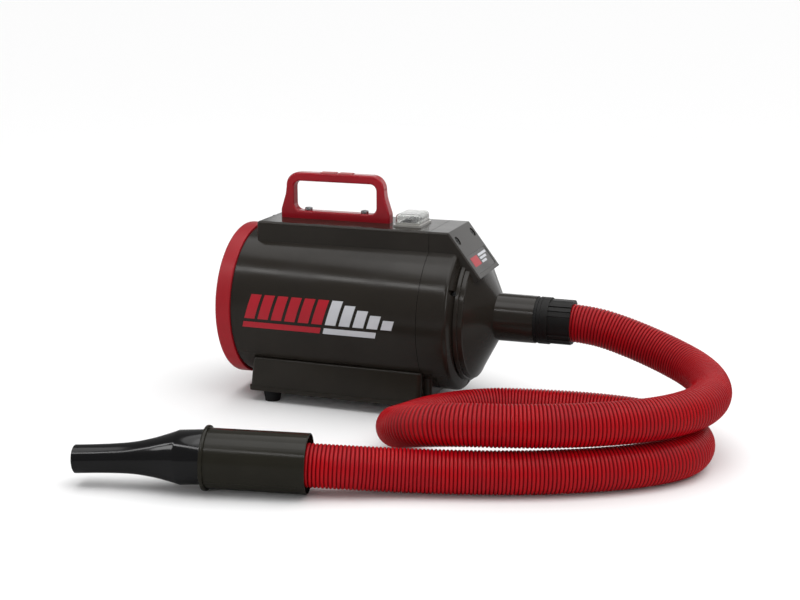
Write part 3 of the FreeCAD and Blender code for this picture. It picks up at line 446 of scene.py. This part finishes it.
def edgeWearAndHighlightGroup():  # where corners rub, lightened for wear and as a painted highlight on the edges
    tree, start, end = newGroup(
        "edgeWearAndHighlight",
        [("Place", "NodeSocketVector", None), ("Amount", "NodeSocketFloat", 0.5),
         ("Breakup", "NodeSocketFloat", 120.0)],
        [("Mask", "NodeSocketFloat")])
    rounded = addNode(tree, "ShaderNodeBevel", samples=4)
    rounded.inputs["Radius"].default_value = 0.0009
    true = addNode(tree, "ShaderNodeNewGeometry")
    likeness = addNode(tree, "ShaderNodeVectorMath", operation="DOT_PRODUCT")
    tree.links.new(rounded.outputs[0], likeness.inputs[0])
    tree.links.new(true.outputs["Normal"], likeness.inputs[1])
    bend = mathNode(tree, "SUBTRACT", 1.0, likeness.outputs["Value"])
    noise = addNode(tree, "ShaderNodeTexNoise")
    tree.links.new(start.outputs["Place"], noise.inputs["Vector"])
    tree.links.new(start.outputs["Breakup"], noise.inputs["Scale"])
    patchy = ramp(tree, noise.outputs[0], 0.35, 0.65, 0.3, 1.0)
    mask = mathNode(tree, "MULTIPLY", ramp(tree, bend, 0.02, 0.25), patchy)
    mask = mathNode(tree, "MULTIPLY", mask, start.outputs["Amount"], clamp=True)
    tree.links.new(mask, end.inputs["Mask"])
    return tree


def dustGroup():  # a light film on what faces up
    tree, start, end = newGroup(
        "dustFilm",
        [("Place", "NodeSocketVector", None), ("Amount", "NodeSocketFloat", 0.1)],
        [("Mask", "NodeSocketFloat")])
    true = addNode(tree, "ShaderNodeNewGeometry")
    parts = addNode(tree, "ShaderNodeSeparateXYZ")
    tree.links.new(true.outputs["Normal"], parts.inputs[0])
    facing = ramp(tree, parts.outputs["Z"], 0.3, 1.0)
    noise = addNode(tree, "ShaderNodeTexNoise")
    noise.inputs["Scale"].default_value = 55
    noise.inputs["Detail"].default_value = 6
    tree.links.new(start.outputs["Place"], noise.inputs["Vector"])
    patchy = ramp(tree, noise.outputs[0], 0.3, 0.75)
    mask = mathNode(tree, "MULTIPLY", facing, patchy)
    mask = mathNode(tree, "MULTIPLY", mask, start.outputs["Amount"], clamp=True)
    tree.links.new(mask, end.inputs["Mask"])
    return tree


groups = {"grain": mouldedGrainGroup(), "wearAndHighlight": edgeWearAndHighlightGroup(), "dust": dustGroup()}


def placeGroup(tree, group, place, **values):
    node = addNode(tree, "ShaderNodeGroup", node_tree=group)
    tree.links.new(place, node.inputs["Place"])
    for label, value in values.items():
        node.inputs[label.replace("_", " ")].default_value = value
    return node


def mixColours(tree, share, first, second):
    node = addNode(tree, "ShaderNodeMix", data_type="RGBA")
    for socket, value in zip((node.inputs[0], node.inputs[6], node.inputs[7]),
                             (share, first, second)):
        if isinstance(value, tuple):
            socket.default_value = (*value, 1)
        elif isinstance(value, (int, float)):
            socket.default_value = value
        else:
            tree.links.new(value, socket)
    return node.outputs[2]


# finishes

# each finish's edge colour lightens its edges, part wear and part painted highlight
finishes = {
    "housing": {"colour": (0.0215, 0.0182, 0.0146), "deep": (0.0178, 0.0148, 0.0118),
                "wornAndHighlight": (0.07, 0.063, 0.057), "rough": (0.15, 0.21), "grain": 1400,
                "bump": 0.035, "wearAndHighlight": 0.3, "dust": 0.008, "gloss": 0.24},
    "plinth": {"colour": (0.0220, 0.0188, 0.0144), "deep": (0.0176, 0.0148, 0.0114),
               "wornAndHighlight": (0.09, 0.08, 0.07), "rough": (0.18, 0.26), "grain": 1200,
               "bump": 0.06, "wearAndHighlight": 0.45, "dust": 0.008, "gloss": 0.28},
    "ringRed": {"colour": (0.37, 0.009, 0.017), "deep": (0.31, 0.007, 0.013),
                "wornAndHighlight": (0.66, 0.16, 0.15), "rough": (0.28, 0.38), "grain": 1200,
                "bump": 0.06, "wearAndHighlight": 0.25, "dust": 0.01, "gloss": 0.25},
    "handleRed": {"colour": (0.33, 0.008, 0.016), "deep": (0.27, 0.006, 0.013),
                  "wornAndHighlight": (0.52, 0.09, 0.09), "rough": (0.14, 0.22), "grain": 1000,
                  "bump": 0.05, "wearAndHighlight": 0.3, "dust": 0.008, "gloss": 0.30},
    # the two pads on the handle's top are a lighter, rougher pink than the handle
    "handlePadLightPink": {"colour": (0.50, 0.16, 0.15), "deep": (0.38, 0.10, 0.10),
                "wornAndHighlight": (0.62, 0.30, 0.28), "rough": (0.55, 0.7), "grain": 2200,
                "bump": 0.2, "wearAndHighlight": 0.3, "dust": 0.05},
    "cuffBlack": {"colour": (0.010, 0.0095, 0.009), "deep": (0.006, 0.0057, 0.0055),
                  "wornAndHighlight": (0.07, 0.065, 0.06), "rough": (0.34, 0.46), "grain": 1600,
                  "bump": 0.12, "wearAndHighlight": 0.45, "dust": 0.01, "gloss": 0.16},
    "sleeveOlive": {"colour": (0.0165, 0.0150, 0.0105), "deep": (0.0130, 0.0118, 0.0082),
                    "wornAndHighlight": (0.09, 0.085, 0.065), "rough": (0.15, 0.22), "grain": 1300,
                    "bump": 0.04, "wearAndHighlight": 0.35, "dust": 0.003, "gloss": 0.19},
    "nozzleBlack": {"colour": (0.0030, 0.0029, 0.0034), "deep": (0.0020, 0.0020, 0.0023),
                    "wornAndHighlight": (0.04, 0.04, 0.04), "rough": (0.10, 0.16), "grain": 900,
                    "bump": 0.02, "wearAndHighlight": 0.2, "dust": 0.002, "gloss": 0.4},
    "blackPlastic": {"colour": (0.011, 0.011, 0.011), "deep": (0.007, 0.007, 0.007),
                     "wornAndHighlight": (0.07, 0.07, 0.07), "rough": (0.4, 0.55), "grain": 1500,
                     "bump": 0.15, "wearAndHighlight": 0.4, "dust": 0.04, "gloss": 0.35},
    "bezelGrey": {"colour": (0.40, 0.39, 0.365), "deep": (0.31, 0.30, 0.285),
                  "wornAndHighlight": (0.65, 0.65, 0.62), "rough": (0.12, 0.22), "grain": 900,
                  "bump": 0.03, "wearAndHighlight": 0.4, "dust": 0.03, "coat": 0.5},
    "rockerGrey": {"colour": (0.045, 0.045, 0.052), "deep": (0.03, 0.03, 0.036),
                   "wornAndHighlight": (0.16, 0.16, 0.17), "rough": (0.22, 0.34), "grain": 1000,
                   "bump": 0.05, "wearAndHighlight": 0.5, "dust": 0.0},
    "printRed": {"colour": (0.42, 0.010, 0.022), "deep": (0.37, 0.008, 0.018),
                 "wornAndHighlight": (0.40, 0.02, 0.03), "rough": (0.30, 0.40), "grain": 800,
                 "bump": 0.03, "wearAndHighlight": 0.1, "dust": 0.01, "gloss": 0.3},
    "printGrey": {"colour": (0.56, 0.57, 0.60), "deep": (0.50, 0.51, 0.54),
                  "wornAndHighlight": (0.48, 0.47, 0.46), "rough": (0.30, 0.40), "grain": 800,
                  "bump": 0.03, "wearAndHighlight": 0.1, "dust": 0.01, "gloss": 0.3},
    "labelPlate": {"colour": (0.040, 0.037, 0.035), "deep": (0.032, 0.030, 0.028),
                   "wornAndHighlight": (0.14, 0.13, 0.12), "rough": (0.3, 0.42), "grain": 1800,
                   "bump": 0.05, "wearAndHighlight": 0.2, "dust": 0.02, "gloss": 0.4},
    "sealRubber": {"colour": (0.007, 0.007, 0.007), "deep": (0.004, 0.004, 0.004),
                   "wornAndHighlight": (0.03, 0.03, 0.03), "rough": (0.6, 0.75), "grain": 1600,
                   "bump": 0.2, "wearAndHighlight": 0.3, "dust": 0.03, "gloss": 0.3},
    "footRubber": {"colour": (0.008, 0.008, 0.008), "deep": (0.005, 0.005, 0.005),
                   "wornAndHighlight": (0.05, 0.048, 0.045), "rough": (0.65, 0.85), "grain": 1100,
                   "bump": 0.3, "wearAndHighlight": 0.5, "dust": 0.05, "gloss": 0.3},
    "foam": {"colour": (0.028, 0.028, 0.029), "deep": (0.010, 0.010, 0.011),
             "wornAndHighlight": (0.04, 0.04, 0.04), "rough": (0.9, 1.0), "grain": 700,
             "bump": 1.0, "wearAndHighlight": 0.2, "dust": 0.1, "gloss": 0.2},
    "screwSteel": {"colour": (0.36, 0.36, 0.37), "deep": (0.24, 0.24, 0.25),
                   "wornAndHighlight": (0.7, 0.7, 0.7), "rough": (0.22, 0.36), "grain": 1500,
                   "bump": 0.08, "wearAndHighlight": 0.6, "dust": 0.02, "metal": 1},
    "screwDark": {"colour": (0.018, 0.018, 0.019), "deep": (0.012, 0.012, 0.012),
                  "wornAndHighlight": (0.10, 0.10, 0.10), "rough": (0.3, 0.45), "grain": 1500,
                  "bump": 0.1, "wearAndHighlight": 0.7, "dust": 0.02, "metal": 1},
    "motorMetal": {"colour": (0.62, 0.63, 0.65), "deep": (0.48, 0.49, 0.50),
                   "wornAndHighlight": (0.85, 0.85, 0.86), "rough": (0.3, 0.5), "grain": 900,
                   "bump": 0.2, "wearAndHighlight": 0.5, "dust": 0.05, "metal": 1},
    "coreIron": {"colour": (0.14, 0.13, 0.125), "deep": (0.08, 0.075, 0.07),
                 "wornAndHighlight": (0.35, 0.34, 0.33), "rough": (0.45, 0.6), "grain": 800,
                 "bump": 0.3, "wearAndHighlight": 0.5, "dust": 0.05, "metal": 1},
    "brass": {"colour": (0.72, 0.50, 0.20), "deep": (0.52, 0.34, 0.12),
              "wornAndHighlight": (0.9, 0.75, 0.45), "rough": (0.25, 0.4), "grain": 1000,
              "bump": 0.1, "wearAndHighlight": 0.5, "dust": 0.02, "metal": 1},
    "board": {"colour": (0.012, 0.09, 0.035), "deep": (0.008, 0.06, 0.024),
              "wornAndHighlight": (0.25, 0.22, 0.12), "rough": (0.3, 0.45), "grain": 700,
              "bump": 0.2, "wearAndHighlight": 0.4, "dust": 0.05},
}


dustLook = {"colour": (0.30, 0.28, 0.26), "rougher": 0.5}
bumpDepth = 0.0004
coatRoughness = 0.08


def startFinish(name):
    material = bpy.data.materials.new(name)
    material.use_nodes = True
    tree = material.node_tree
    place = addNode(tree, "ShaderNodeTexCoord").outputs["Object"]
    return material, tree, tree.nodes["Principled BSDF"], place


def addBump(tree, shader, height, strength, depth=bumpDepth):
    bump = addNode(tree, "ShaderNodeBump")
    bump.inputs["Strength"].default_value = strength
    bump.inputs["Distance"].default_value = depth
    tree.links.new(height, bump.inputs["Height"])
    tree.links.new(bump.outputs[0], shader.inputs["Normal"])


def addRoughness(tree, tone, look):
    low, high = look["rough"]
    return ramp(tree, tone, 0.0, 1.0, high, low)


def makeFinish(name, look):
    material, tree, shader, place = startFinish(name)
    grain = placeGroup(tree, groups["grain"], place, Grain_Scale=look["grain"])
    wearAndHighlight = placeGroup(tree, groups["wearAndHighlight"], place, Amount=look["wearAndHighlight"])
    dust = placeGroup(tree, groups["dust"], place, Amount=look["dust"])
    colour = mixColours(tree, grain.outputs["Tone"], look["deep"], look["colour"])
    # lighter edges: part wear, part painted highlight
    colour = mixColours(tree, wearAndHighlight.outputs["Mask"], colour, look["wornAndHighlight"])
    colour = mixColours(tree, dust.outputs["Mask"], colour, dustLook["colour"])
    tree.links.new(colour, shader.inputs["Base Color"])
    dusty = mathNode(tree, "MULTIPLY", dust.outputs["Mask"], dustLook["rougher"])
    rough = addRoughness(tree, grain.outputs["Tone"], look)
    tree.links.new(mathNode(tree, "ADD", rough, dusty, clamp=True), shader.inputs["Roughness"])
    addBump(tree, shader, grain.outputs["Height"], look["bump"])
    shader.inputs["Metallic"].default_value = look.get("metal", 0)
    shader.inputs["Specular IOR Level"].default_value = look.get("gloss", 0.5)
    shader.inputs["Coat Weight"].default_value = look.get("coat", 0)
    shader.inputs["Coat Roughness"].default_value = coatRoughness
    return material


materials = {name: makeFinish(name, look) for name, look in finishes.items()}

hoseLook = {
    # the darkest red here is painted shade, darkening the rib grooves and the bore
    "crest": (0.41, 0.0012, 0.005), "grooveShade": (0.10, 0.001, 0.002),
    "tired": (0.34, 0.002, 0.007), "dusty": (0.45, 0.16, 0.16), "dust": 0.012,
    "rough": (0.26, 0.34), "grooveRougher": 0.2, "grain": 1800.0, "tone": 22.0,
    "bump": 0.12, "bumpDepth": 0.0003, "gloss": 0.17,
}
clearLook = {
    "colour": (0.97, 0.97, 0.96), "deep": (0.90, 0.91, 0.89), "rough": (0.02, 0.06),
    "grain": 500.0, "tone": 40.0, "bump": 0.05, "clear": 0.9, "index": 1.42,
}


def makeHoseFinish(look):
    material, tree, shader, place = startFinish("hoseRed")
    grain = placeGroup(tree, groups["grain"], place, Grain_Scale=look["grain"],
                       Tone_Scale=look["tone"])
    dust = placeGroup(tree, groups["dust"], place, Amount=look["dust"])
    depth = addNode(tree, "ShaderNodeAttribute", attribute_name="grooveShade").outputs["Fac"]
    colour = mixColours(tree, grain.outputs["Tone"], look["tired"], look["crest"])
    # painted shade: darker red by groove depth, in the grooves and in the bore
    colour = mixColours(tree, ramp(tree, depth, 0.1, 1.0), colour, look["grooveShade"])
    colour = mixColours(tree, dust.outputs["Mask"], colour, look["dusty"])
    tree.links.new(colour, shader.inputs["Base Color"])
    rougher = mathNode(tree, "MULTIPLY", depth, look["grooveRougher"])
    rough = addRoughness(tree, grain.outputs["Tone"], look)
    tree.links.new(mathNode(tree, "ADD", rough, rougher), shader.inputs["Roughness"])
    addBump(tree, shader, grain.outputs["Height"], look["bump"], look["bumpDepth"])
    shader.inputs["Specular IOR Level"].default_value = look["gloss"]
    return material


def makeClearFinish(look):
    material, tree, shader, place = startFinish("clearCover")
    grain = placeGroup(tree, groups["grain"], place, Grain_Scale=look["grain"],
                       Tone_Scale=look["tone"])
    colour = mixColours(tree, grain.outputs["Tone"], look["deep"], look["colour"])
    tree.links.new(colour, shader.inputs["Base Color"])
    tree.links.new(addRoughness(tree, grain.outputs["Tone"], look), shader.inputs["Roughness"])
    addBump(tree, shader, grain.outputs["Height"], look["bump"])
    shader.inputs["Transmission Weight"].default_value = look["clear"]
    shader.inputs["IOR"].default_value = look["index"]
    return material


materials["hoseRed"] = makeHoseFinish(hoseLook)
materials["clearCover"] = makeClearFinish(clearLook)

nodeFinishes = {
    "housing": ["barrel_shell", "front_housing"],
    "plinth": ["base_plinth"],
    "ringRed": ["filter_ring"],
    "handleRed": ["handle"],
    "handlePadLightPink": ["handle_pads"],
    "cuffBlack": ["hose_cuff", "hose_end_collar"],
    "blackPlastic": ["intake_grille", "switch_body", "cord_gland", "gland_nut",
                     "board_posts", "terminal_block"],
    "bezelGrey": ["switch_bezel"],
    "rockerGrey": ["rocker_1", "rocker_2"],
    "clearCover": ["switch_cover"],
    "labelPlate": ["panel_plate"],
    "sealRubber": ["outlet_seal", "cuff_seal", "motor_seal_1", "motor_seal_2"],
    "footRubber": ["rear_near_foot", "rear_far_foot", "front_near_foot", "front_far_foot"],
    "foam": ["foam_filter", "foam_liner"],
    "screwSteel": ["handle_screws", "base_screws", "rocker_pin", "motor_bearings_1",
                   "motor_bearings_2"],
    "screwDark": ["housing_screws"],
    "motorMetal": ["fan_shroud_1", "fan_shroud_2", "motor_frame_1", "motor_frame_2",
                   "fan_1", "fan_2"],
    "coreIron": ["stator_1", "stator_2", "armature_1", "armature_2"],
    "brass": ["switch_tabs", "brush_holders_1", "brush_holders_2"],
    "board": ["circuit_board"],
}


def dress(piece, finish):
    piece.data.materials.clear()
    piece.data.materials.append(materials[finish])


for finish, names in nodeFinishes.items():
    for name in names:
        dress(nodes[name], finish)
dress(ribbedHose, "hoseRed")
dress(sleeveTurned, "sleeveOlive")
dress(nozzleTrumpet, "nozzleBlack")
report(f"{len(materials)} finishes on {sum(map(len, nodeFinishes.values()))} nodes")


# printed stripes

barrelPrint = {
    "proud": 0.00015, "thick": 0.000135,
    "lean": 0.30,  # how far a bar leans forward for each unit of height
    # start along the barrel, width, and the heights below and above the axis, in mm
    "red": [(-147 + 17 * i, 13, -4, 25) for i in range(6)],
    "grey": [(-45 + 17 * i, 13, -4, 25 - 4.5 * i) for i in range(5)],
    "redLine": [(-147, 98, -15, -8)],
    "greyLine": [(-45, 64, -15, -8)],
}
panelPrint = {
    "top": (0.0864, 0, 0.212), "foot": (0.1248, 0, 0.1615),
    "sunk": 0.0004, "proud": 0.0001, "thick": 0.00008,
    # start and width across, start and length down the slope, in mm
    "red": [(-30, 25, 38, 12)],
    "grey": [(-1, 30, 38, 3), (-1, 24, 42.5, 3), (-1, 18, 47, 3)],
}


def gridPatch(across, along, name):
    deselectAll()
    bpy.ops.mesh.primitive_grid_add(x_subdivisions=across, y_subdivisions=along, size=1)
    return newest(name)


def wrapBar(bar, look):
    start, width, low, high = (value * mm for value in bar)
    piece = gridPatch(2, 16, "bar")
    radius = barrelRadius + look["proud"]
    for vertex in piece.data.vertices:
        up = low + (vertex.co.y + 0.5) * (high - low)
        turn = up / barrelRadius
        vertex.co = (start + (vertex.co.x + 0.5) * width + up * look["lean"],
                     -radius * math.cos(turn), axisHeight + radius * math.sin(turn))
    return piece


def panelDirections():  # the slanted panel's top edge, its way down and its way out
    top = Vector(panelPrint["top"])
    slope = (Vector(panelPrint["foot"]) - top).normalized()
    return top, slope, Vector((-slope.z, 0, slope.x))


def panelBar(bar, look):
    start, width, down, length = (value * mm for value in bar)
    piece = gridPatch(2, 2, "bar")
    top, slope, outward = panelDirections()
    height = look["proud"] - look["sunk"]
    for vertex in piece.data.vertices:
        across = Vector((0, start + (vertex.co.x + 0.5) * width, 0))
        spot = down + (0.5 - vertex.co.y) * length
        vertex.co = top + slope * spot + outward * height + across
    return piece


def printPiece(name, finish, bars, shapeBar, look):
    piece = joinPieces([shapeBar(bar, look) for bar in bars], name)
    addModifier(piece, "SOLIDIFY", thickness=look["thick"], offset=-1)
    smooth(piece)
    dress(piece, finish)
    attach(piece, "dryer")


for shade, finish in (("red", "printRed"), ("grey", "printGrey")):
    bars = barrelPrint[shade] + barrelPrint[shade + "Line"]
    printPiece(f"print_{shade}", finish, bars, wrapBar, barrelPrint)
    printPiece(f"panel_print_{shade}", finish, panelPrint[shade], panelBar, panelPrint)
report("stripes printed")


# screws

screws = {
    "housing_screws": {"radius": 2.8, "height": 1.6, "finish": "screwDark",
                       "slot": "screw_dark", "recess": (3.0, 0.8, 0.9)},
    "handle_screws": {"radius": 4.6, "height": 3.0, "finish": "screwSteel",
                      "slot": "screw_steel", "recess": (4.4, 1.1, 1.3), "dome": True},
    "base_screws": {"radius": 4.0, "height": 2.4, "finish": "screwSteel",
                    "slot": "screw_steel", "recess": (4.0, 1.0, 1.3)},
}
bandScrews = {"x": 0.1012, "floor": 0.07655, "angles": (30, 150, 270)}
panelScrews = {"down": 0.0132, "across": (-0.030, 0.030), "sunk": 0.00235, "radius": 4.2}
handleScrews = {"spread": 0.036, "foot": 0.2213, "shank": (2.0, 18)}
baseScrews = {"places": [(-0.100, -0.030), (-0.100, 0.030), (0.016, -0.030), (0.016, 0.030)],
              "underside": 0.014, "shank": (2.0, 20)}
screwShape = {"around": 40, "bevel": 0.00025, "domeSteps": 4, "domeInset": 0.14,
              "domeRise": 0.11, "shankAround": 20}


def screwHead(look, radius):  # stands on z = 0, head up
    height = look["height"] * mm
    deselectAll()
    bpy.ops.mesh.primitive_cylinder_add(vertices=screwShape["around"], radius=radius * mm,
                                        depth=height, location=(0, 0, height / 2))
    head = applyPlace(newest("screw_head"))
    if look.get("dome"):
        pickFaces(head, lambda face: face.normal.z > 0.9)
        for step in range(screwShape["domeSteps"]):
            bpy.ops.mesh.inset(thickness=radius * mm * screwShape["domeInset"])
            rise = height * screwShape["domeRise"] / (step + 1)
            bpy.ops.transform.translate(value=(0, 0, rise))
        bpy.ops.object.mode_set(mode="OBJECT")
    addModifier(head, "BEVEL", width=screwShape["bevel"], segments=3, limit_method="ANGLE")
    long, wide, deep = (value * mm for value in look["recess"])
    top = max(vertex.co.z for vertex in head.data.vertices)
    for turn in (0, 90):
        deselectAll()
        bpy.ops.mesh.primitive_cube_add(size=1, location=(0, 0, top))
        slot = newest("cross")
        slot.scale = (long, wide, deep * 2)
        slot.rotation_euler = (0, 0, math.radians(turn))
        applyPlace(slot)
        addModifier(head, "BOOLEAN", object=slot, operation="DIFFERENCE", solver="EXACT")
        bpy.data.objects.remove(slot)
    return head


def setScrew(head, place, way):
    piece = head.copy()
    piece.data = head.data.copy()
    bpy.context.scene.collection.objects.link(piece)
    piece.rotation_euler = way.to_track_quat("Z", "Y").to_euler()
    piece.location = place
    return applyPlace(piece)


def screwShank(shank, place, way):
    radius, length = (value * mm for value in shank)
    deselectAll()
    bpy.ops.mesh.primitive_cylinder_add(vertices=screwShape["shankAround"], radius=radius,
                                        depth=length, location=place - way * length / 2)
    return applyPlace(newest("shank"))


def setScrews(look, radius, spots, shank=None):  # one screw at each place and way
    head = screwHead(look, radius)
    pieces = []
    for place, way in spots:
        pieces.append(setScrew(head, place, way))
        if shank:
            pieces.append(screwShank(shank, place, way))
    bpy.data.objects.remove(head)
    return pieces


def bandSpots():
    spots = []
    for angle in bandScrews["angles"]:
        turn = math.radians(angle)
        way = Vector((0, -math.cos(turn), math.sin(turn)))
        middle = Vector((bandScrews["x"], 0, axisHeight))
        spots.append((middle + way * bandScrews["floor"], way))
    return spots


def panelSpots():
    top, slope, outward = panelDirections()
    middle = top + slope * panelScrews["down"] - outward * panelScrews["sunk"]
    return [(middle + Vector((0, across, 0)), outward) for across in panelScrews["across"]]


def handleSpots():
    low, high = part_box("handle")
    middle = (low[0] + high[0]) / 2
    spread, foot = handleScrews["spread"], handleScrews["foot"]
    return [(Vector((middle + side * spread, 0, foot)), Vector((0, 0, 1))) for side in (-1, 1)]


def baseSpots():
    down = Vector((0, 0, -1))
    return [(Vector((x, y, baseScrews["underside"])), down) for x, y in baseScrews["places"]]


def finishScrews(node, pieces):
    look = screws[node]
    piece = joinPieces(pieces, node.replace("_screws", "_screw_set"))
    smooth(piece)
    dress(piece, look["finish"])
    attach(piece, "dryer")
    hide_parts(node)


def buildScrews():
    look = screws["housing_screws"]
    pieces = setScrews(look, look["radius"], bandSpots())
    pieces += setScrews(look, panelScrews["radius"], panelSpots())
    finishScrews("housing_screws", pieces)
    for node, spots, shank in (("handle_screws", handleSpots(), handleScrews["shank"]),
                               ("base_screws", baseSpots(), baseScrews["shank"])):
        look = screws[node]
        finishScrews(node, setScrews(look, look["radius"], spots, shank))
    report("screws set")


buildScrews()


# floor and light

studio = {
    "floor": 80, "paper": 0.94, "paperInGloss": 0.34, "paperRough": 0.75, "paperGloss": 0.2,
    "world": 0.40, "worldInGloss": 0.22, "backdrop": 1.05,
    "sun": {"strength": 2.25, "spread": 84, "lean": (-8, 12)},
    "aim": (0.05, -0.1, 0.1),
    # a glint shows only in the gloss, and a fill only out of it
    "soft boxes": [
        {"name": "overhead", "place": (0.1, -0.5, 1.9), "size": (1.5, 0.9), "power": 5},
        {"name": "front", "place": (0.3, -2.2, 0.8), "size": (1.5, 1.0), "power": 5.5,
         "fill": True},
        {"name": "left", "place": (-1.8, -1.2, 1.0), "size": (0.5, 1.3), "power": 10,
         "glint": True},
        {"name": "strip", "place": (-0.8, -1.3, 1.7), "size": (2.6, 0.14), "power": 9,
         "glint": True},
        {"name": "behind", "place": (0.35, 2.6, 0.55), "size": (3.6, 1.3), "power": 12,
         "glint": True},
        {"name": "right", "place": (1.9, -0.9, 1.0), "size": (0.3, 1.2), "power": 7,
         "glint": True},
    ],
}


def addFloor(spec):
    deselectAll()
    bpy.ops.mesh.primitive_plane_add(size=spec["floor"], location=(0, 0, 0))
    floor = newest("floor")
    material = bpy.data.materials.new("paper")
    material.use_nodes = True
    tree = material.node_tree
    shader = tree.nodes["Principled BSDF"]
    glossy = addNode(tree, "ShaderNodeLightPath").outputs["Is Glossy Ray"]
    white = (spec["paper"],) * 3
    grey = (spec["paperInGloss"],) * 3
    tree.links.new(mixColours(tree, glossy, white, grey), shader.inputs["Base Color"])
    shader.inputs["Roughness"].default_value = spec["paperRough"]
    shader.inputs["Specular IOR Level"].default_value = spec["paperGloss"]
    floor.data.materials.append(material)


def addLights(spec):
    world = bpy.data.worlds.new("studio")
    world.use_nodes = True
    tree = world.node_tree
    background = tree.nodes["Background"]
    background.inputs[0].default_value = (1, 1, 1, 1)
    rays = addNode(tree, "ShaderNodeLightPath")
    strength = spec["world"]
    for kind, wanted in (("Is Glossy Ray", "worldInGloss"), ("Is Camera Ray", "backdrop")):
        choice = addNode(tree, "ShaderNodeMapRange")
        tree.links.new(rays.outputs[kind], choice.inputs[0])
        if isinstance(strength, float):
            choice.inputs[3].default_value = strength
        else:
            tree.links.new(strength, choice.inputs[3])
        choice.inputs[4].default_value = spec[wanted]
        strength = choice.outputs[0]
    tree.links.new(strength, background.inputs[1])
    bpy.context.scene.world = world
    bpy.ops.object.light_add(type="SUN", location=(0, 0, 3))
    sun = bpy.context.active_object
    sun.name = "sky"
    sun.data.energy = spec["sun"]["strength"]
    sun.data.angle = math.radians(spec["sun"]["spread"])
    lean = [math.radians(value) for value in spec["sun"]["lean"]]
    sun.rotation_euler = (lean[0], lean[1], 0)
    for box in spec["soft boxes"]:
        place = Vector(box["place"])
        bpy.ops.object.light_add(type="AREA", location=place)
        light = bpy.context.active_object
        light.name = box["name"]
        light.data.shape = "RECTANGLE"
        light.data.size, light.data.size_y = box["size"]
        light.data.energy = box["power"]
        light.visible_diffuse = not box.get("glint")
        light.visible_glossy = not box.get("fill")
        light.visible_camera = False
        aim = Vector(spec["aim"]) - place
        light.rotation_euler = aim.to_track_quat("-Z", "Y").to_euler()


addFloor(studio)
addLights(studio)
bpy.context.scene.view_settings.view_transform = "Standard"
bpy.context.scene.view_settings.look = "None"
report("studio lit")
